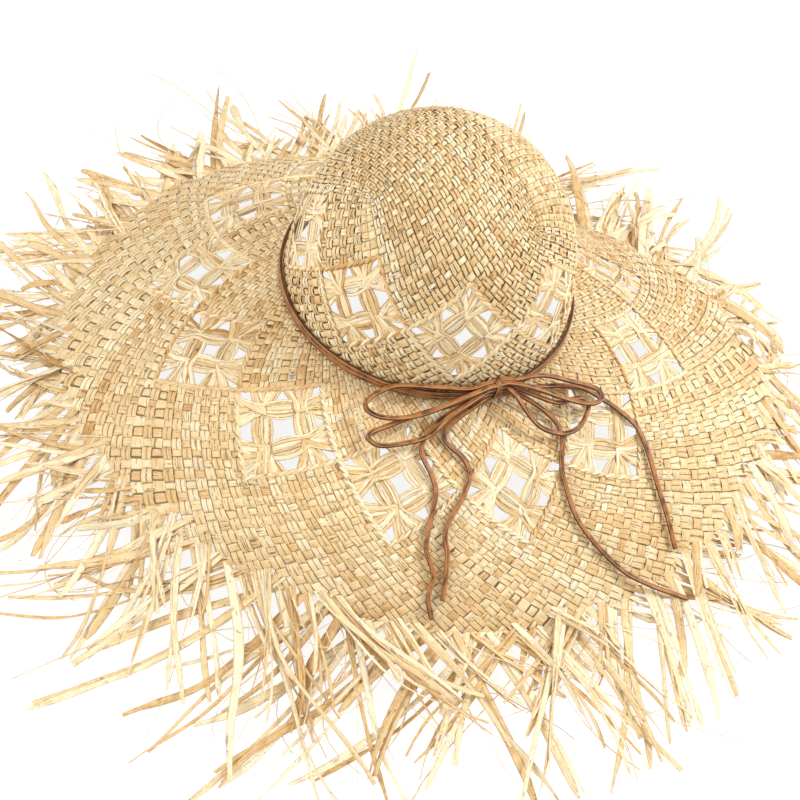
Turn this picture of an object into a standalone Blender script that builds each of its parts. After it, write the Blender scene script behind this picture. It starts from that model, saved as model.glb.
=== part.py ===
"""Straw sun hat: a plaited raffia crown and wide wavy brim, each with a ring of openwork
diamonds, a fringe of loose strand ends round the brim, a sweatband inside the crown's foot,
and a leather lace wound twice round the crown and tied in a bow with four tails.

Metres, +Z up. The crown's axis is the Z axis, the fringe rests on the floor at z = 0, and the
bow faces -Y. Azimuth 0 is at -Y and turns towards +X.
"""

import math

import bmesh
import bpy
from mathutils import Matrix, Vector

# Driving dimensions
CROWN_RADIUS = 0.093  # middle of the plait at the crown's foot: a 57 cm head
CROWN_HEIGHT = 0.122
CROWN_FULLNESS = 2.35  # power of the superellipse that the dome's outline follows
FOOT_HEIGHT = 0.100  # height of the crown's foot over the floor
PLAIT = 0.0016  # thickness of the plaited wall
GAP = 0.0003  # between pieces that touch

BRIM_WIDTH = 0.158  # along the slope, from the crown's foot to the last plaited row
BRIM_WIDTH_SWELL = 0.011  # the brim is this much wider on two opposite sides
BRIM_SWELL_AZIMUTH = math.radians(56)
# The slope of the brim at the crown and at its edge: a mean, and waves round the hat, each
# with its count, height and azimuth, all in degrees.
INNER_SLOPE = 22.0
INNER_WAVES = ((1, 14.0, 130.0), (2, 3.5, 12.0), (3, 7.7, 3.0))
OUTER_SLOPE = 42.0
OUTER_WAVES = ((1, 10.0, -80.0), (2, 8.5, -20.0), (3, 2.8, 35.0))

FRINGE_RADIUS = 0.305  # where the strand ends reach on the floor
FRINGE_SAG = 1.5  # power by which the strands sink from the brim's edge to the floor
FRINGE_THICKNESS = 0.0010
FRINGE_START = 0.02  # the share of its length at which it starts, clear of the brim's last row
FRINGE_SECTORS = 12
BLADES_PER_SECTOR = 4
# Down a blade, from the fringe's solid root to its tip: the share of the fringe's length, and
# the blade's share of its pitch.
BLADE_ROWS = ((0.085, 0.55), (0.55, 0.44), (1.0, 0.12))

CROWN_PANELS = 8
CROWN_PANEL_AZIMUTH = math.radians(-14)
CROWN_PANEL_CENTRE = 0.052  # up the wall from the foot
CROWN_PANEL_HALF_DIAGONAL = 0.035
CROWN_TOP_ROWS = (0.3, 0.55, 0.8)  # rows of the mesh, from the panels' upper corners to the top
BRIM_PANELS = 12
BRIM_PANEL_AZIMUTH = math.radians(2.3)
BRIM_PANEL_CENTRE = 0.059  # down the brim from the crown's foot
BRIM_PANEL_HALF_DIAGONAL = 0.0385
CORNER_BRIDGE = 0.0012  # half the plait left between two diamonds' corners
DIAMOND_CELLS = 4  # mesh cells across a diamond
# Across a panel from its middle (0) to its border (1): the gathered bars lie between these.
BAR_INNER = 0.28
BAR_OUTER = 0.56
PANEL_REACH = 0.975

BAND_RADIUS = 0.0912  # outer face of the sweatband
BAND_THICKNESS = 0.0015
BAND_BOTTOM = -0.002  # from the crown's foot
BAND_TOP = 0.018
BAND_STEPS = 64

LACE = 0.0030  # diameter
LACE_PITCH = 0.0034  # between the middles of two laces that lie side by side
KNOT_AZIMUTH = math.radians(3)
KNOT_WIDTH = 0.0070
KNOT_DEPTH = 0.0072
KNOT_HEIGHT = 0.0145
KNOT_LIFT = 0.0015  # its bottom, over the crown's foot
KNOT_ROUNDING = 0.0012
LACE_LEAD = 0.003  # how far each lace runs straight out of the knot
WRAP_POINTS = 72
POINT_SPACING = 0.0075  # along a lace
CURVE_PIECES = 12  # between two points of a lace's route, before it is spaced evenly

# Bow and tails: each route's points after the knot, as azimuth in degrees, millimetres down
# the brim from the crown's foot, and millimetres straight up from the brim. A loop comes back
# to the knot.
LOOPS = {
    "bow_loop_left_upper": (
        (-8, 5, 15.4), (-18, 4, 15.0), (-28, 4.5, 14.0), (-35, 7, 12.5), (-39.5, 14, 11.5),
        (-42, 23, 11.2), (-41, 29, 11.6), (-37, 31, 12.5), (-31, 28.5, 14.0), (-24, 22.5, 14.8),
        (-16, 15.5, 16.6), (-9, 11, 17.6),
    ),
    "bow_loop_left_lower": (
        (-6, 6.5, 12.6), (-13, 12, 12.4), (-25, 20, 10.5), (-34, 32.5, 9.0), (-38, 41, 8.5),
        (-37, 45.5, 8.5), (-33, 45, 9.0), (-23, 34.5, 10.2), (-16, 21.5, 12.6), (-9, 13.8, 14.2),
    ),
    "bow_loop_right_upper": (
        (11, 6.5, 16.3), (18, 9, 16.2), (24, 14, 15.2), (30, 24, 13.5), (34.5, 34, 12.5),
        (36.5, 42, 12.0), (35.5, 47, 12.0), (32, 45, 12.6), (28, 38.5, 13.8), (23, 29.5, 16.0),
        (18, 21.5, 18.2), (12, 14, 20.0),
    ),
    "bow_loop_right_lower": (
        (9.5, 8.5, 14.0), (14, 16.5, 14.2), (22, 29, 11.6), (28, 33, 10.0), (31.5, 37.5, 9.5),
        (31.5, 42.5, 9.0), (29, 46, 8.6), (24.5, 49, 8.4), (19, 46, 8.6), (13.5, 37.5, 10.8),
        (10.5, 28, 14.0), (8, 18, 18.0),
    ),
}
TAILS = {
    "tail_left_outer": (
        (-5, 9, 10.2), (-12, 13.5, 9.4), (-18, 20, 7.8), (-22, 28, 5.4), (-23.5, 38, 3.7),
        (-22, 46, 3.4), (-20, 54, 3.4), (-19, 65, 3.8), (-20.3, 88, 4.4), (-20.3, 100, 4.4),
        (-18.6, 114, 4.4), (-19.2, 128, 4.4), (-18.2, 142, 4.4),
    ),
    "tail_left_inner": (
        (-4, 9.5, 6.8), (-10, 14.5, 5.6), (-15, 21, 4.2), (-16.8, 27, 3.5), (-15.5, 33, 3.4),
        (-11.5, 41, 3.4), (-10, 51, 3.4), (-12, 64, 3.8), (-16.5, 86, 4.4), (-16, 101, 4.4),
        (-16.2, 114, 4.4), (-16.6, 130, 4.4),
    ),
    "tail_right_inner": (
        (9, 10.5, 11.5), (13.5, 17, 9.4), (18, 26, 6.2), (20.5, 37, 4.0), (20, 47, 3.5),
        (17, 57, 3.4), (15, 70, 3.8), (14.5, 100, 4.4), (18.5, 136, 4.5), (22, 160, 9.0),
        (26.5, 188, 16.0),
    ),
    "tail_right_outer": (
        (10, 7.2, 6.8), (17, 10.5, 7.6), (24, 15.5, 7.0), (30, 22, 6.0), (35.5, 32.5, 5.0),
        (38, 46, 4.0), (39.5, 60, 3.4), (39.6, 77, 3.8), (37, 94, 4.4), (34.3, 111, 4.4),
        (32, 132, 4.4), (30, 152, 4.8),
    ),
}
# Where each lace enters the knot's side: a row from the bottom, and 0 for the column next to
# the crown or 1 for the outer one.
WRAP_ROWS = {"lace_wrap_lower": 0, "lace_wrap_upper": 1}
LOOP_PLACES = {
    "bow_loop_left_upper": ((3, 0), (3, 1)),
    "bow_loop_left_lower": ((2, 0), (2, 1)),
    "bow_loop_right_upper": ((3, 0), (3, 1)),
    "bow_loop_right_lower": ((2, 0), (2, 1)),
}
TAIL_PLACES = {
    "tail_left_outer": (1, 1),
    "tail_left_inner": (0, 1),
    "tail_right_inner": (1, 1),
    "tail_right_outer": (0, 1),
}

OUTLINE_STEPS = 160  # used to walk along the dome's outline
SLOPE_STEPS = 12  # used to walk down the brim
SHARP_EDGE = math.radians(50)
MILLIMETRE = 0.001


def make_material(name, colour, roughness):
    """A plain Principled finish."""
    material = bpy.data.materials.new(name)
    material.use_nodes = True
    shader = material.node_tree.nodes["Principled BSDF"]
    shader.inputs["Base Color"].default_value = (*colour, 1.0)
    shader.inputs["Roughness"].default_value = roughness
    shader.inputs["Metallic"].default_value = 0.0
    return material


def wave_sum(mean, waves, azimuth):
    """Radians, from a mean and waves given in degrees."""
    total = mean
    for count, height, peak in waves:
        total += height * math.cos(count * (azimuth - math.radians(peak)))
    return math.radians(total)


def brim_width(azimuth):
    swell = math.cos(2 * (azimuth - BRIM_SWELL_AZIMUTH))
    return BRIM_WIDTH + BRIM_WIDTH_SWELL * swell


def on_ring(azimuth, radius, height):
    return Vector((radius * math.sin(azimuth), -radius * math.cos(azimuth), height))


def brim_point(azimuth, down):
    """A point `down` metres along the brim's slope from the crown's foot."""
    inner = wave_sum(INNER_SLOPE, INNER_WAVES, azimuth)
    outer = wave_sum(OUTER_SLOPE, OUTER_WAVES, azimuth)
    change = (outer - inner) / brim_width(azimuth)
    radius = CROWN_RADIUS
    height = FOOT_HEIGHT
    step = down / SLOPE_STEPS
    for index in range(SLOPE_STEPS):
        slope = inner + change * (index + 0.5) * step
        radius += step * math.cos(slope)
        height -= step * math.sin(slope)
    return on_ring(azimuth, radius, height)


def dome_outline():
    """(length, radius, height) up the crown's wall, from its foot to its top."""
    rows = [(0.0, CROWN_RADIUS, 0.0)]
    for index in range(1, OUTLINE_STEPS + 1):
        turn = 0.5 * math.pi * index / OUTLINE_STEPS
        radius = CROWN_RADIUS * max(math.cos(turn), 0.0) ** (2 / CROWN_FULLNESS)
        height = CROWN_HEIGHT * math.sin(turn) ** (2 / CROWN_FULLNESS)
        length, last_radius, last_height = rows[-1]
        length += math.hypot(radius - last_radius, height - last_height)
        rows.append((length, radius, height))
    return rows


DOME = dome_outline()
DOME_LENGTH = DOME[-1][0]


def crown_point(azimuth, up):
    """A point `up` metres along the crown's wall from its foot."""
    for low, high in zip(DOME, DOME[1:]):
        if up <= high[0]:
            share = (up - low[0]) / (high[0] - low[0])
            radius = low[1] + share * (high[1] - low[1])
            height = low[2] + share * (high[2] - low[2])
            return on_ring(azimuth, radius, FOOT_HEIGHT + height)
    return Vector((0.0, 0.0, FOOT_HEIGHT + CROWN_HEIGHT))


def fringe_point(azimuth, share):
    """A point this share of the way out along the fringe, which sinks to rest on the floor."""
    edge = brim_point(azimuth, brim_width(azimuth))
    start = math.hypot(edge.x, edge.y)
    floor = FRINGE_THICKNESS / 2
    height = floor + (edge.z - floor) * (1 - share) ** FRINGE_SAG
    return on_ring(azimuth, start + (FRINGE_RADIUS - start) * share, height)


def finish_object(name, mesh, material):
    mesh.materials.append(material)
    thing = bpy.data.objects.new(name, mesh)
    bpy.context.scene.collection.objects.link(thing)
    return thing


class Plate:
    """A thin curved wall: corners named by a key, faces joining them, and Solidify for the
    thickness. Its faces look away from the hat's inside."""

    def __init__(self, place):
        self.place = place
        self.mesh = bmesh.new()
        self.corners = {}

    def corner(self, key):
        if key not in self.corners:
            self.corners[key] = self.mesh.verts.new(self.place(*key))
        return self.corners[key]

    def face(self, keys):
        self.mesh.faces.new([self.corner(key) for key in keys])

    def finish(self, name, material, thickness):
        bmesh.ops.recalc_face_normals(self.mesh, faces=self.mesh.faces)
        mesh = bpy.data.meshes.new(name)
        self.mesh.to_mesh(mesh)
        self.mesh.free()
        mesh.shade_smooth()
        mesh.set_sharp_from_angle(angle=SHARP_EDGE)
        thing = finish_object(name, mesh, material)
        wall = thing.modifiers.new("wall", "SOLIDIFY")
        wall.thickness = thickness
        wall.offset = 0.0
        wall.use_even_offset = True
        return thing


def diamond_columns(panels, first_azimuth, half_angle):
    """The azimuths of the mesh's columns, and each column's place in its diamond, from -1 at
    one corner to 1 at the other."""
    columns = []
    for panel in range(panels):
        middle = first_azimuth + math.tau * panel / panels
        for cell in range(DIAMOND_CELLS + 1):
            across = 2 * cell / DIAMOND_CELLS - 1
            columns.append((middle + across * half_angle, across))
    return columns


def pierced_wall(place, columns, rows):
    """A closed ring of wall with a diamond left open at each panel. Rows are (distance along
    the wall, place in the diamond), where a place beyond -1 to 1 is outside it."""
    plate = Plate(lambda column, row: place(columns[column][0], rows[row][0]))
    count = len(columns)
    for column in range(count):
        after = (column + 1) % count
        bridge = columns[after][1] < columns[column][1]
        for row in range(len(rows) - 1):
            keys = ((column, row), (after, row), (after, row + 1), (column, row + 1))
            reach = [abs(columns[c][1]) + abs(rows[r][1]) for c, r in keys]
            kept = [key for key, far in zip(keys, reach) if bridge or far > 0.999]
            if len(kept) == 4 or (len(kept) == 3 and max(reach) > 1.001):
                plate.face(kept)
    return plate


def diamond_rows(below, centre, half_diagonal, above):
    """Wall distances before a diamond, across it and after it."""
    rows = [(distance, -2.0) for distance in below]
    for cell in range(DIAMOND_CELLS + 1):
        along = 2 * cell / DIAMOND_CELLS - 1
        rows.append((centre + along * half_diagonal, along))
    return rows + [(distance, 2.0) for distance in above]


def half_angle_of(panels, radius):
    """Half of the azimuth that a diamond spans, with the bridge between corners left out."""
    return math.pi / panels - CORNER_BRIDGE / radius


def make_crown(material):
    radius = math.hypot(*crown_point(0, CROWN_PANEL_CENTRE).xy)
    half_angle = half_angle_of(CROWN_PANELS, radius)
    columns = diamond_columns(CROWN_PANELS, CROWN_PANEL_AZIMUTH, half_angle)
    foot = PLAIT / 2 + GAP
    upper = CROWN_PANEL_CENTRE + CROWN_PANEL_HALF_DIAGONAL
    left = DOME_LENGTH - upper
    above = [upper + left * share for share in CROWN_TOP_ROWS]
    rows = diamond_rows([foot], CROWN_PANEL_CENTRE, CROWN_PANEL_HALF_DIAGONAL, above)
    plate = pierced_wall(crown_point, columns, rows)
    top = len(rows) - 1
    apex = plate.mesh.verts.new(crown_point(0, DOME_LENGTH))
    plate.corners["apex"] = apex
    for column in range(len(columns)):
        after = (column + 1) % len(columns)
        plate.face(((column, top), (after, top), "apex"))
    plate.finish("crown", material, PLAIT)
    return half_angle


def make_brim(material):
    radius = math.hypot(*brim_point(0, BRIM_PANEL_CENTRE).xy)
    half_angle = half_angle_of(BRIM_PANELS, radius)
    columns = diamond_columns(BRIM_PANELS, BRIM_PANEL_AZIMUTH, half_angle)
    far_corner = BRIM_PANEL_CENTRE + BRIM_PANEL_HALF_DIAGONAL
    rows = diamond_rows([0.0], BRIM_PANEL_CENTRE, BRIM_PANEL_HALF_DIAGONAL, [1, 2, 3])
    outer_rows = 3

    def place(azimuth, distance):
        """Rows after the diamonds are numbered, and share what is left of the brim."""
        if distance < 1:
            return brim_point(azimuth, distance)
        left = brim_width(azimuth) - far_corner
        return brim_point(azimuth, far_corner + left * distance / outer_rows)

    pierced_wall(place, columns, rows).finish("brim", material, PLAIT)
    return half_angle


def make_panels(prefix, place, panels, first_azimuth, half_angle, centre, half_diagonal, material):
    """Gathered strands in each diamond: two bars each way and nine windows between them."""
    lines = (-PANEL_REACH, -BAR_OUTER, -BAR_INNER, BAR_INNER, BAR_OUTER, PANEL_REACH)
    bars = (1, 3)
    for panel in range(panels):
        middle = first_azimuth + math.tau * panel / panels

        def on_panel(first, second, middle=middle):
            across = (lines[first] - lines[second]) / 2
            along = (lines[first] + lines[second]) / 2
            return place(middle + across * half_angle, centre + along * half_diagonal)

        plate = Plate(on_panel)
        for first in range(len(lines) - 1):
            for second in range(len(lines) - 1):
                if first in bars or second in bars:
                    plate.face(
                        (
                            (first, second),
                            (first + 1, second),
                            (first + 1, second + 1),
                            (first, second + 1),
                        )
                    )
        plate.finish(f"{prefix}_{panel + 1:02d}", material, PLAIT)


def make_fringe(material):
    """Sectors of tapered blades on a solid root that follows the brim's edge."""
    blade_angle = math.tau / (FRINGE_SECTORS * BLADES_PER_SECTOR)
    end_gap = GAP / CROWN_RADIUS
    rows = ((FRINGE_START, BLADE_ROWS[0][1]), *BLADE_ROWS)
    for sector in range(FRINGE_SECTORS):

        def place(blade, side, row, sector=sector):
            """Side -1 or 1 is a blade's edge, and -2 or 2 is its sector's end."""
            middle = (sector * BLADES_PER_SECTOR + blade + 0.5) * blade_angle
            share, width = rows[row]
            if abs(side) == 2:
                return fringe_point(middle + (side / 2) * (blade_angle / 2 - end_gap), share)
            return fringe_point(middle + side * width * blade_angle / 2, share)

        plate = Plate(place)
        columns = [(0, -2)]
        for blade in range(BLADES_PER_SECTOR):
            left, right = (blade, -1), (blade, 1)
            columns += [left, right]
            for row in range(1, len(rows) - 1):
                plate.face(((*left, row), (*right, row), (*right, row + 1), (*left, row + 1)))
        columns.append((BLADES_PER_SECTOR - 1, 2))
        for left, right in zip(columns, columns[1:]):
            plate.face(((*left, 0), (*right, 0), (*right, 1), (*left, 1)))
        plate.finish(f"fringe_{sector + 1:02d}", material, FRINGE_THICKNESS)


def make_sweatband(material):
    """A plain ring with a flat lower edge, spun from its section."""
    mesh = bmesh.new()
    low = FOOT_HEIGHT + BAND_BOTTOM
    high = FOOT_HEIGHT + BAND_TOP
    inner = BAND_RADIUS - BAND_THICKNESS
    section = ((inner, low), (BAND_RADIUS, low), (BAND_RADIUS, high), (inner, high))
    corners = [mesh.verts.new((radius, 0, height)) for radius, height in section]
    sides = [mesh.edges.new((a, b)) for a, b in zip(corners, corners[1:] + corners[:1])]
    bmesh.ops.spin(
        mesh, geom=corners + sides, axis=(0, 0, 1), cent=(0, 0, 0), angle=math.tau,
        steps=BAND_STEPS, use_merge=True,
    )
    bmesh.ops.remove_doubles(mesh, verts=mesh.verts, dist=1e-6)
    bmesh.ops.recalc_face_normals(mesh, faces=mesh.faces)
    ring = bpy.data.meshes.new("sweatband")
    mesh.to_mesh(ring)
    mesh.free()
    ring.shade_smooth()
    ring.set_sharp_from_angle(angle=SHARP_EDGE)
    finish_object("sweatband", ring, material)


def smooth_route(points, spacing):
    """Points at an even spacing along the Catmull-Rom curve through the given ones."""
    padded = [2 * points[0] - points[1], *points, 2 * points[-1] - points[-2]]
    fine = [points[0]]
    for a, b, c, d in zip(padded, padded[1:], padded[2:], padded[3:]):
        for index in range(1, CURVE_PIECES + 1):
            t = index / CURVE_PIECES
            fine.append(
                0.5
                * (
                    2 * b
                    + (c - a) * t
                    + (2 * a - 5 * b + 4 * c - d) * t**2
                    + (3 * b - a - 3 * c + d) * t**3
                )
            )
    length = sum((b - a).length for a, b in zip(fine, fine[1:]))
    count = max(round(length / spacing), 2)
    even = [fine[0]]
    walked = 0.0
    for a, b in zip(fine, fine[1:]):
        step = (b - a).length
        while len(even) < count and walked + step >= length * len(even) / count:
            share = (length * len(even) / count - walked) / step
            even.append(a.lerp(b, share))
        walked += step
    return [*even[:count], fine[-1]]


def make_lace(name, points, material):
    """A round tube with flat ends along the points."""
    curve = bpy.data.curves.new(name, "CURVE")
    curve.dimensions = "3D"
    curve.bevel_depth = LACE / 2
    curve.bevel_resolution = 2
    curve.use_fill_caps = True
    spline = curve.splines.new("POLY")
    spline.points.add(len(points) - 1)
    for place, point in zip(spline.points, points):
        place.co = (*point, 1.0)
    curve.materials.append(material)
    lace = bpy.data.objects.new(name, curve)
    bpy.context.scene.collection.objects.link(lace)
    return lace


WRAP_RADIUS = CROWN_RADIUS + PLAIT / 2 + GAP + LACE / 2
KNOT_BOTTOM = FOOT_HEIGHT + KNOT_LIFT


def knot_place(side, row, column, out=0.0):
    """The middle of a lace that enters the knot: side is -1 for the left face or 1 for the
    right one, and `out` is how far it still is from that face."""
    radius = WRAP_RADIUS + column * LACE_PITCH
    height = KNOT_BOTTOM + KNOT_HEIGHT / 2 + (row - 1.5) * LACE_PITCH
    middle = on_ring(KNOT_AZIMUTH, radius, height)
    along = Vector((math.cos(KNOT_AZIMUTH), math.sin(KNOT_AZIMUTH), 0.0))
    return middle + side * (KNOT_WIDTH / 2 + GAP + out) * along


def make_knot(material):
    """A rounded block that binds all the laces."""
    mesh = bmesh.new()
    bmesh.ops.create_cube(mesh, size=1.0)
    bmesh.ops.scale(mesh, vec=(KNOT_WIDTH, KNOT_DEPTH, KNOT_HEIGHT), verts=mesh.verts)
    block = bpy.data.meshes.new("lace_knot")
    mesh.to_mesh(block)
    mesh.free()
    knot = finish_object("lace_knot", block, material)
    radius = CROWN_RADIUS + PLAIT / 2 + 2 * GAP + KNOT_DEPTH / 2
    knot.location = on_ring(KNOT_AZIMUTH, radius, KNOT_BOTTOM + KNOT_HEIGHT / 2)
    knot.rotation_euler = Matrix.Rotation(KNOT_AZIMUTH, 3, "Z").to_euler()
    rounding = knot.modifiers.new("rounding", "BEVEL")
    rounding.width = KNOT_ROUNDING
    rounding.segments = 2


def make_wraps(material):
    """Two turns round the crown, from one side of the knot to the other."""
    # The wraps curve away from the knot's flat faces, so their arc starts a little past it.
    reach = (KNOT_WIDTH / 2 + GAP + LACE_LEAD) / WRAP_RADIUS
    for name, row in WRAP_ROWS.items():
        start = knot_place(1, row, 0)
        points = [start]
        for index in range(WRAP_POINTS + 1):
            azimuth = KNOT_AZIMUTH + reach + (math.tau - 2 * reach) * index / WRAP_POINTS
            points.append(on_ring(azimuth, WRAP_RADIUS + GAP, start.z))
        points.append(knot_place(-1, row, 0))
        make_lace(name, points, material)


def route_points(route):
    return [
        brim_point(math.radians(azimuth), down * MILLIMETRE) + Vector((0, 0, over * MILLIMETRE))
        for azimuth, down, over in route
    ]


def make_bow(material):
    """Each lace leaves the knot straight, which keeps its flat end square to the knot."""
    for name, route in (LOOPS | TAILS).items():
        side = -1 if "left" in name else 1
        places = LOOP_PLACES.get(name, (TAIL_PLACES.get(name),))
        ends = [knot_place(side, *place) for place in places]
        leads = [knot_place(side, *place, LACE_LEAD) for place in places]
        middle = smooth_route([leads[0], *route_points(route), *leads[1:]], POINT_SPACING)
        make_lace(name, [ends[0], *middle, *ends[1:]], material)


def main():
    for thing in list(bpy.data.objects):
        bpy.data.objects.remove(thing, do_unlink=True)
    raffia = make_material("raffia", (0.72, 0.50, 0.23), 0.62)
    openwork = make_material("gathered_raffia", (0.80, 0.60, 0.31), 0.58)
    loose = make_material("loose_raffia", (0.78, 0.55, 0.27), 0.60)
    cotton = make_material("cotton_band", (0.80, 0.72, 0.58), 0.85)
    leather = make_material("brown_leather", (0.26, 0.075, 0.02), 0.50)

    crown_half_angle = make_crown(raffia)
    brim_half_angle = make_brim(raffia)
    make_panels(
        "crown_panel", crown_point, CROWN_PANELS, CROWN_PANEL_AZIMUTH, crown_half_angle,
        CROWN_PANEL_CENTRE, CROWN_PANEL_HALF_DIAGONAL, openwork,
    )
    make_panels(
        "brim_panel", brim_point, BRIM_PANELS, BRIM_PANEL_AZIMUTH, brim_half_angle,
        BRIM_PANEL_CENTRE, BRIM_PANEL_HALF_DIAGONAL, openwork,
    )
    make_fringe(loose)
    make_sweatband(cotton)
    make_knot(leather)
    make_wraps(leather)
    make_bow(leather)


main()
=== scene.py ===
import math
from collections import deque
from functools import partial

import bpy
import numpy as np
from mathutils import Matrix


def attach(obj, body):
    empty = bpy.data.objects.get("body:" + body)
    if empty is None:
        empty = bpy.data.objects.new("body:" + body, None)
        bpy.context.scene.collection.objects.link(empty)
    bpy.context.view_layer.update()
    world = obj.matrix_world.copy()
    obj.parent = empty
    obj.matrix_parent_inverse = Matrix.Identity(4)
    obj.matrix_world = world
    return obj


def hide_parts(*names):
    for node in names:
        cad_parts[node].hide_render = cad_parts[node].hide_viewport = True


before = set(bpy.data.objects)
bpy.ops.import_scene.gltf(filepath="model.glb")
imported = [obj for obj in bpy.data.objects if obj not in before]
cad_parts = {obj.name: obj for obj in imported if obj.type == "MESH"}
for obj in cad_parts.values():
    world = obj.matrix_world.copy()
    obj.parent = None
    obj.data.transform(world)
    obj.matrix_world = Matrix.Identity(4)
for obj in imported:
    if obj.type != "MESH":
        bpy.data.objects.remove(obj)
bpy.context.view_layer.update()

# A straw sun hat: the plaited crown and brim, the openwork diamonds, the fringe, the sweatband
# and the leather lace, each made over the CAD frame that it replaces. Metres, +Z up, the
# crown's axis on Z, azimuth 0 at -Y and turning towards +X.

bl_info = {
    "name": "Straw sun hat",
    "version": (1, 0, 0),
    "blender": (4, 5, 0),
    "location": "3D View > Sidebar > Straw hat",
    "description": "Plaits a raffia sun hat with openwork diamonds, a fringe and a leather lace",
    "category": "Add Mesh",
}

MM = 0.001

# The hat's own dimensions, the same as the frame's.
CROWN_RADIUS = 0.093
CROWN_HEIGHT = 0.122
CROWN_FULLNESS = 2.35
FOOT_HEIGHT = 0.100
PLAIT = 0.0016
GAP = 0.0003
BRIM_WIDTH = 0.158
BRIM_WIDTH_SWELL = 0.011
BRIM_SWELL_AZIMUTH = math.radians(56)
INNER_SLOPE = 22.0
INNER_WAVES = ((1, 14.0, 130.0), (2, 3.5, 12.0), (3, 7.7, 3.0))
OUTER_SLOPE = 42.0
OUTER_WAVES = ((1, 10.0, -80.0), (2, 8.5, -20.0), (3, 2.8, 35.0))
FRINGE_RADIUS = 0.305
FRINGE_SAG = 1.5

CROWN_PANELS = 8
CROWN_PANEL_AZIMUTH = math.radians(-14)
CROWN_PANEL_CENTRE = 0.052
CROWN_PANEL_HALF = 0.035
BRIM_PANELS = 12
BRIM_PANEL_AZIMUTH = math.radians(2.3)
BRIM_PANEL_CENTRE = 0.059
BRIM_PANEL_HALF = 0.0385

BAND_RADIUS = 0.0912
BAND_THICKNESS = 0.0015
BAND_BOTTOM = -0.002
BAND_TOP = 0.018

LACE = 0.0030
LACE_PITCH = 0.0034
KNOT_AZIMUTH = math.radians(3)
KNOT_WIDTH = 0.0070
KNOT_DEPTH = 0.0072
KNOT_HEIGHT = 0.0145
KNOT_BOTTOM = FOOT_HEIGHT + 0.0015
LACE_LEAD = 0.003
WRAP_RADIUS = CROWN_RADIUS + PLAIT / 2 + GAP + LACE / 2
LACE_HALF_WIDE = 0.00158  # the lace is a little flat
LACE_HALF_THICK = 0.00118
LACE_SPACING = 0.0018  # between the points of its path

# The plait. Rows and reaches are in half diagonals of the openwork diamonds, and widths are
# shares of the strands' pitch.
JOIN_WITHIN = 2e-6
BRIM_ROWS_BELOW = 0.78  # from the diamonds' near corners to the crown's foot
CROWN_ROWS_BELOW = 0.64
FOOT_OVERLAP = 0.0028  # how far the plait runs on where the crown and the brim meet
INNER_GATHER = 0.0104  # the cells narrow towards the crown's foot
OUTER_SPREAD = 0.007  # and widen towards the brim's edge
OUTER_REACH = 1.27  # from the diamonds' far corners to the brim's edge
MISSING_CELLS = (0.0, 0.12, 0.32)  # the share that is missing in the brim's last rows
DOME_NARROWING = 0.008  # the cells narrow towards the top
DOME_ROWS = 3  # from the diamonds' lower corners
FIRST_CORNER = -3  # the dome's first folded corner, in half panels from the first panel
LONG_SIDE = 5  # of the oblong on top, in half panels
SHORT_SIDE = 3
BRIM_RIBS, CROWN_RIBS = 1, 0  # which of the two ways the ribs run on the front
FRONT_AZIMUTH = math.radians(-25)
RIB_WIDTH, LEAST_RIB = 1.13, 1.08
SINGLE_WIDTH, LEAST_SINGLE = 0.72, 0.60
CLOSED_WIDTH = 1.03  # of single strands where no rib closes the plait
ONE_LEAF_RIBS = 0.12  # the share of the ribs that are one leaf and not two
CROWN_RELIEF = 1.25  # how much more the crown's strands rise than the brim's

# The openwork, in half sides of a diamond
PANEL_STRANDS = 9  # thin strands gathered into each bar
BAR_PLACE = 0.44  # from a diamond's middle to its bars
BORDER_SPREAD = 0.70  # how widely a bar's strands fan out at the border
NODE_SPREAD = 0.24  # and at a star
MIDDLE_SPREAD = 0.43  # and between two stars
FAN_START = 0.50
STAR_REACH = 0.17  # how far from a star one bar rises over the other
TURNED_STRANDS = 6  # strands that turn at each star
TURNED_SPREAD = 0.62  # how far they lean, as a share of their reach
TWINE_PITCH = 0.0098  # metres
TWINE_SWING = 0.0007

# The fringe
FRINGE_SECTORS = 12
# How the loose ends' length varies round the brim: waves, share of the length and peak azimuth.
FRINGE_WAVES = ((1, 0.22, -20.0), (2, 0.22, -25.0))
LEAVES = {1: 0.20, 2: 0.40, 3: 0.26, 4: 0.14}  # how many leaves the strands part into
WIDEST_LEAF = 0.0054
CURLED_FIBRES = 260
TAILS_REST = math.radians(28)  # the lace's right tails rest on the loose ends here
TAILS_REACH = math.radians(13)
FLOOR_CLEARANCE = 0.0009
FRINGE_LIMIT = 0.329  # the strand ends stay inside this, along X and along Y
SETTING_OFF = math.radians(33)  # how steeply the loose ends leave the edge

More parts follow.
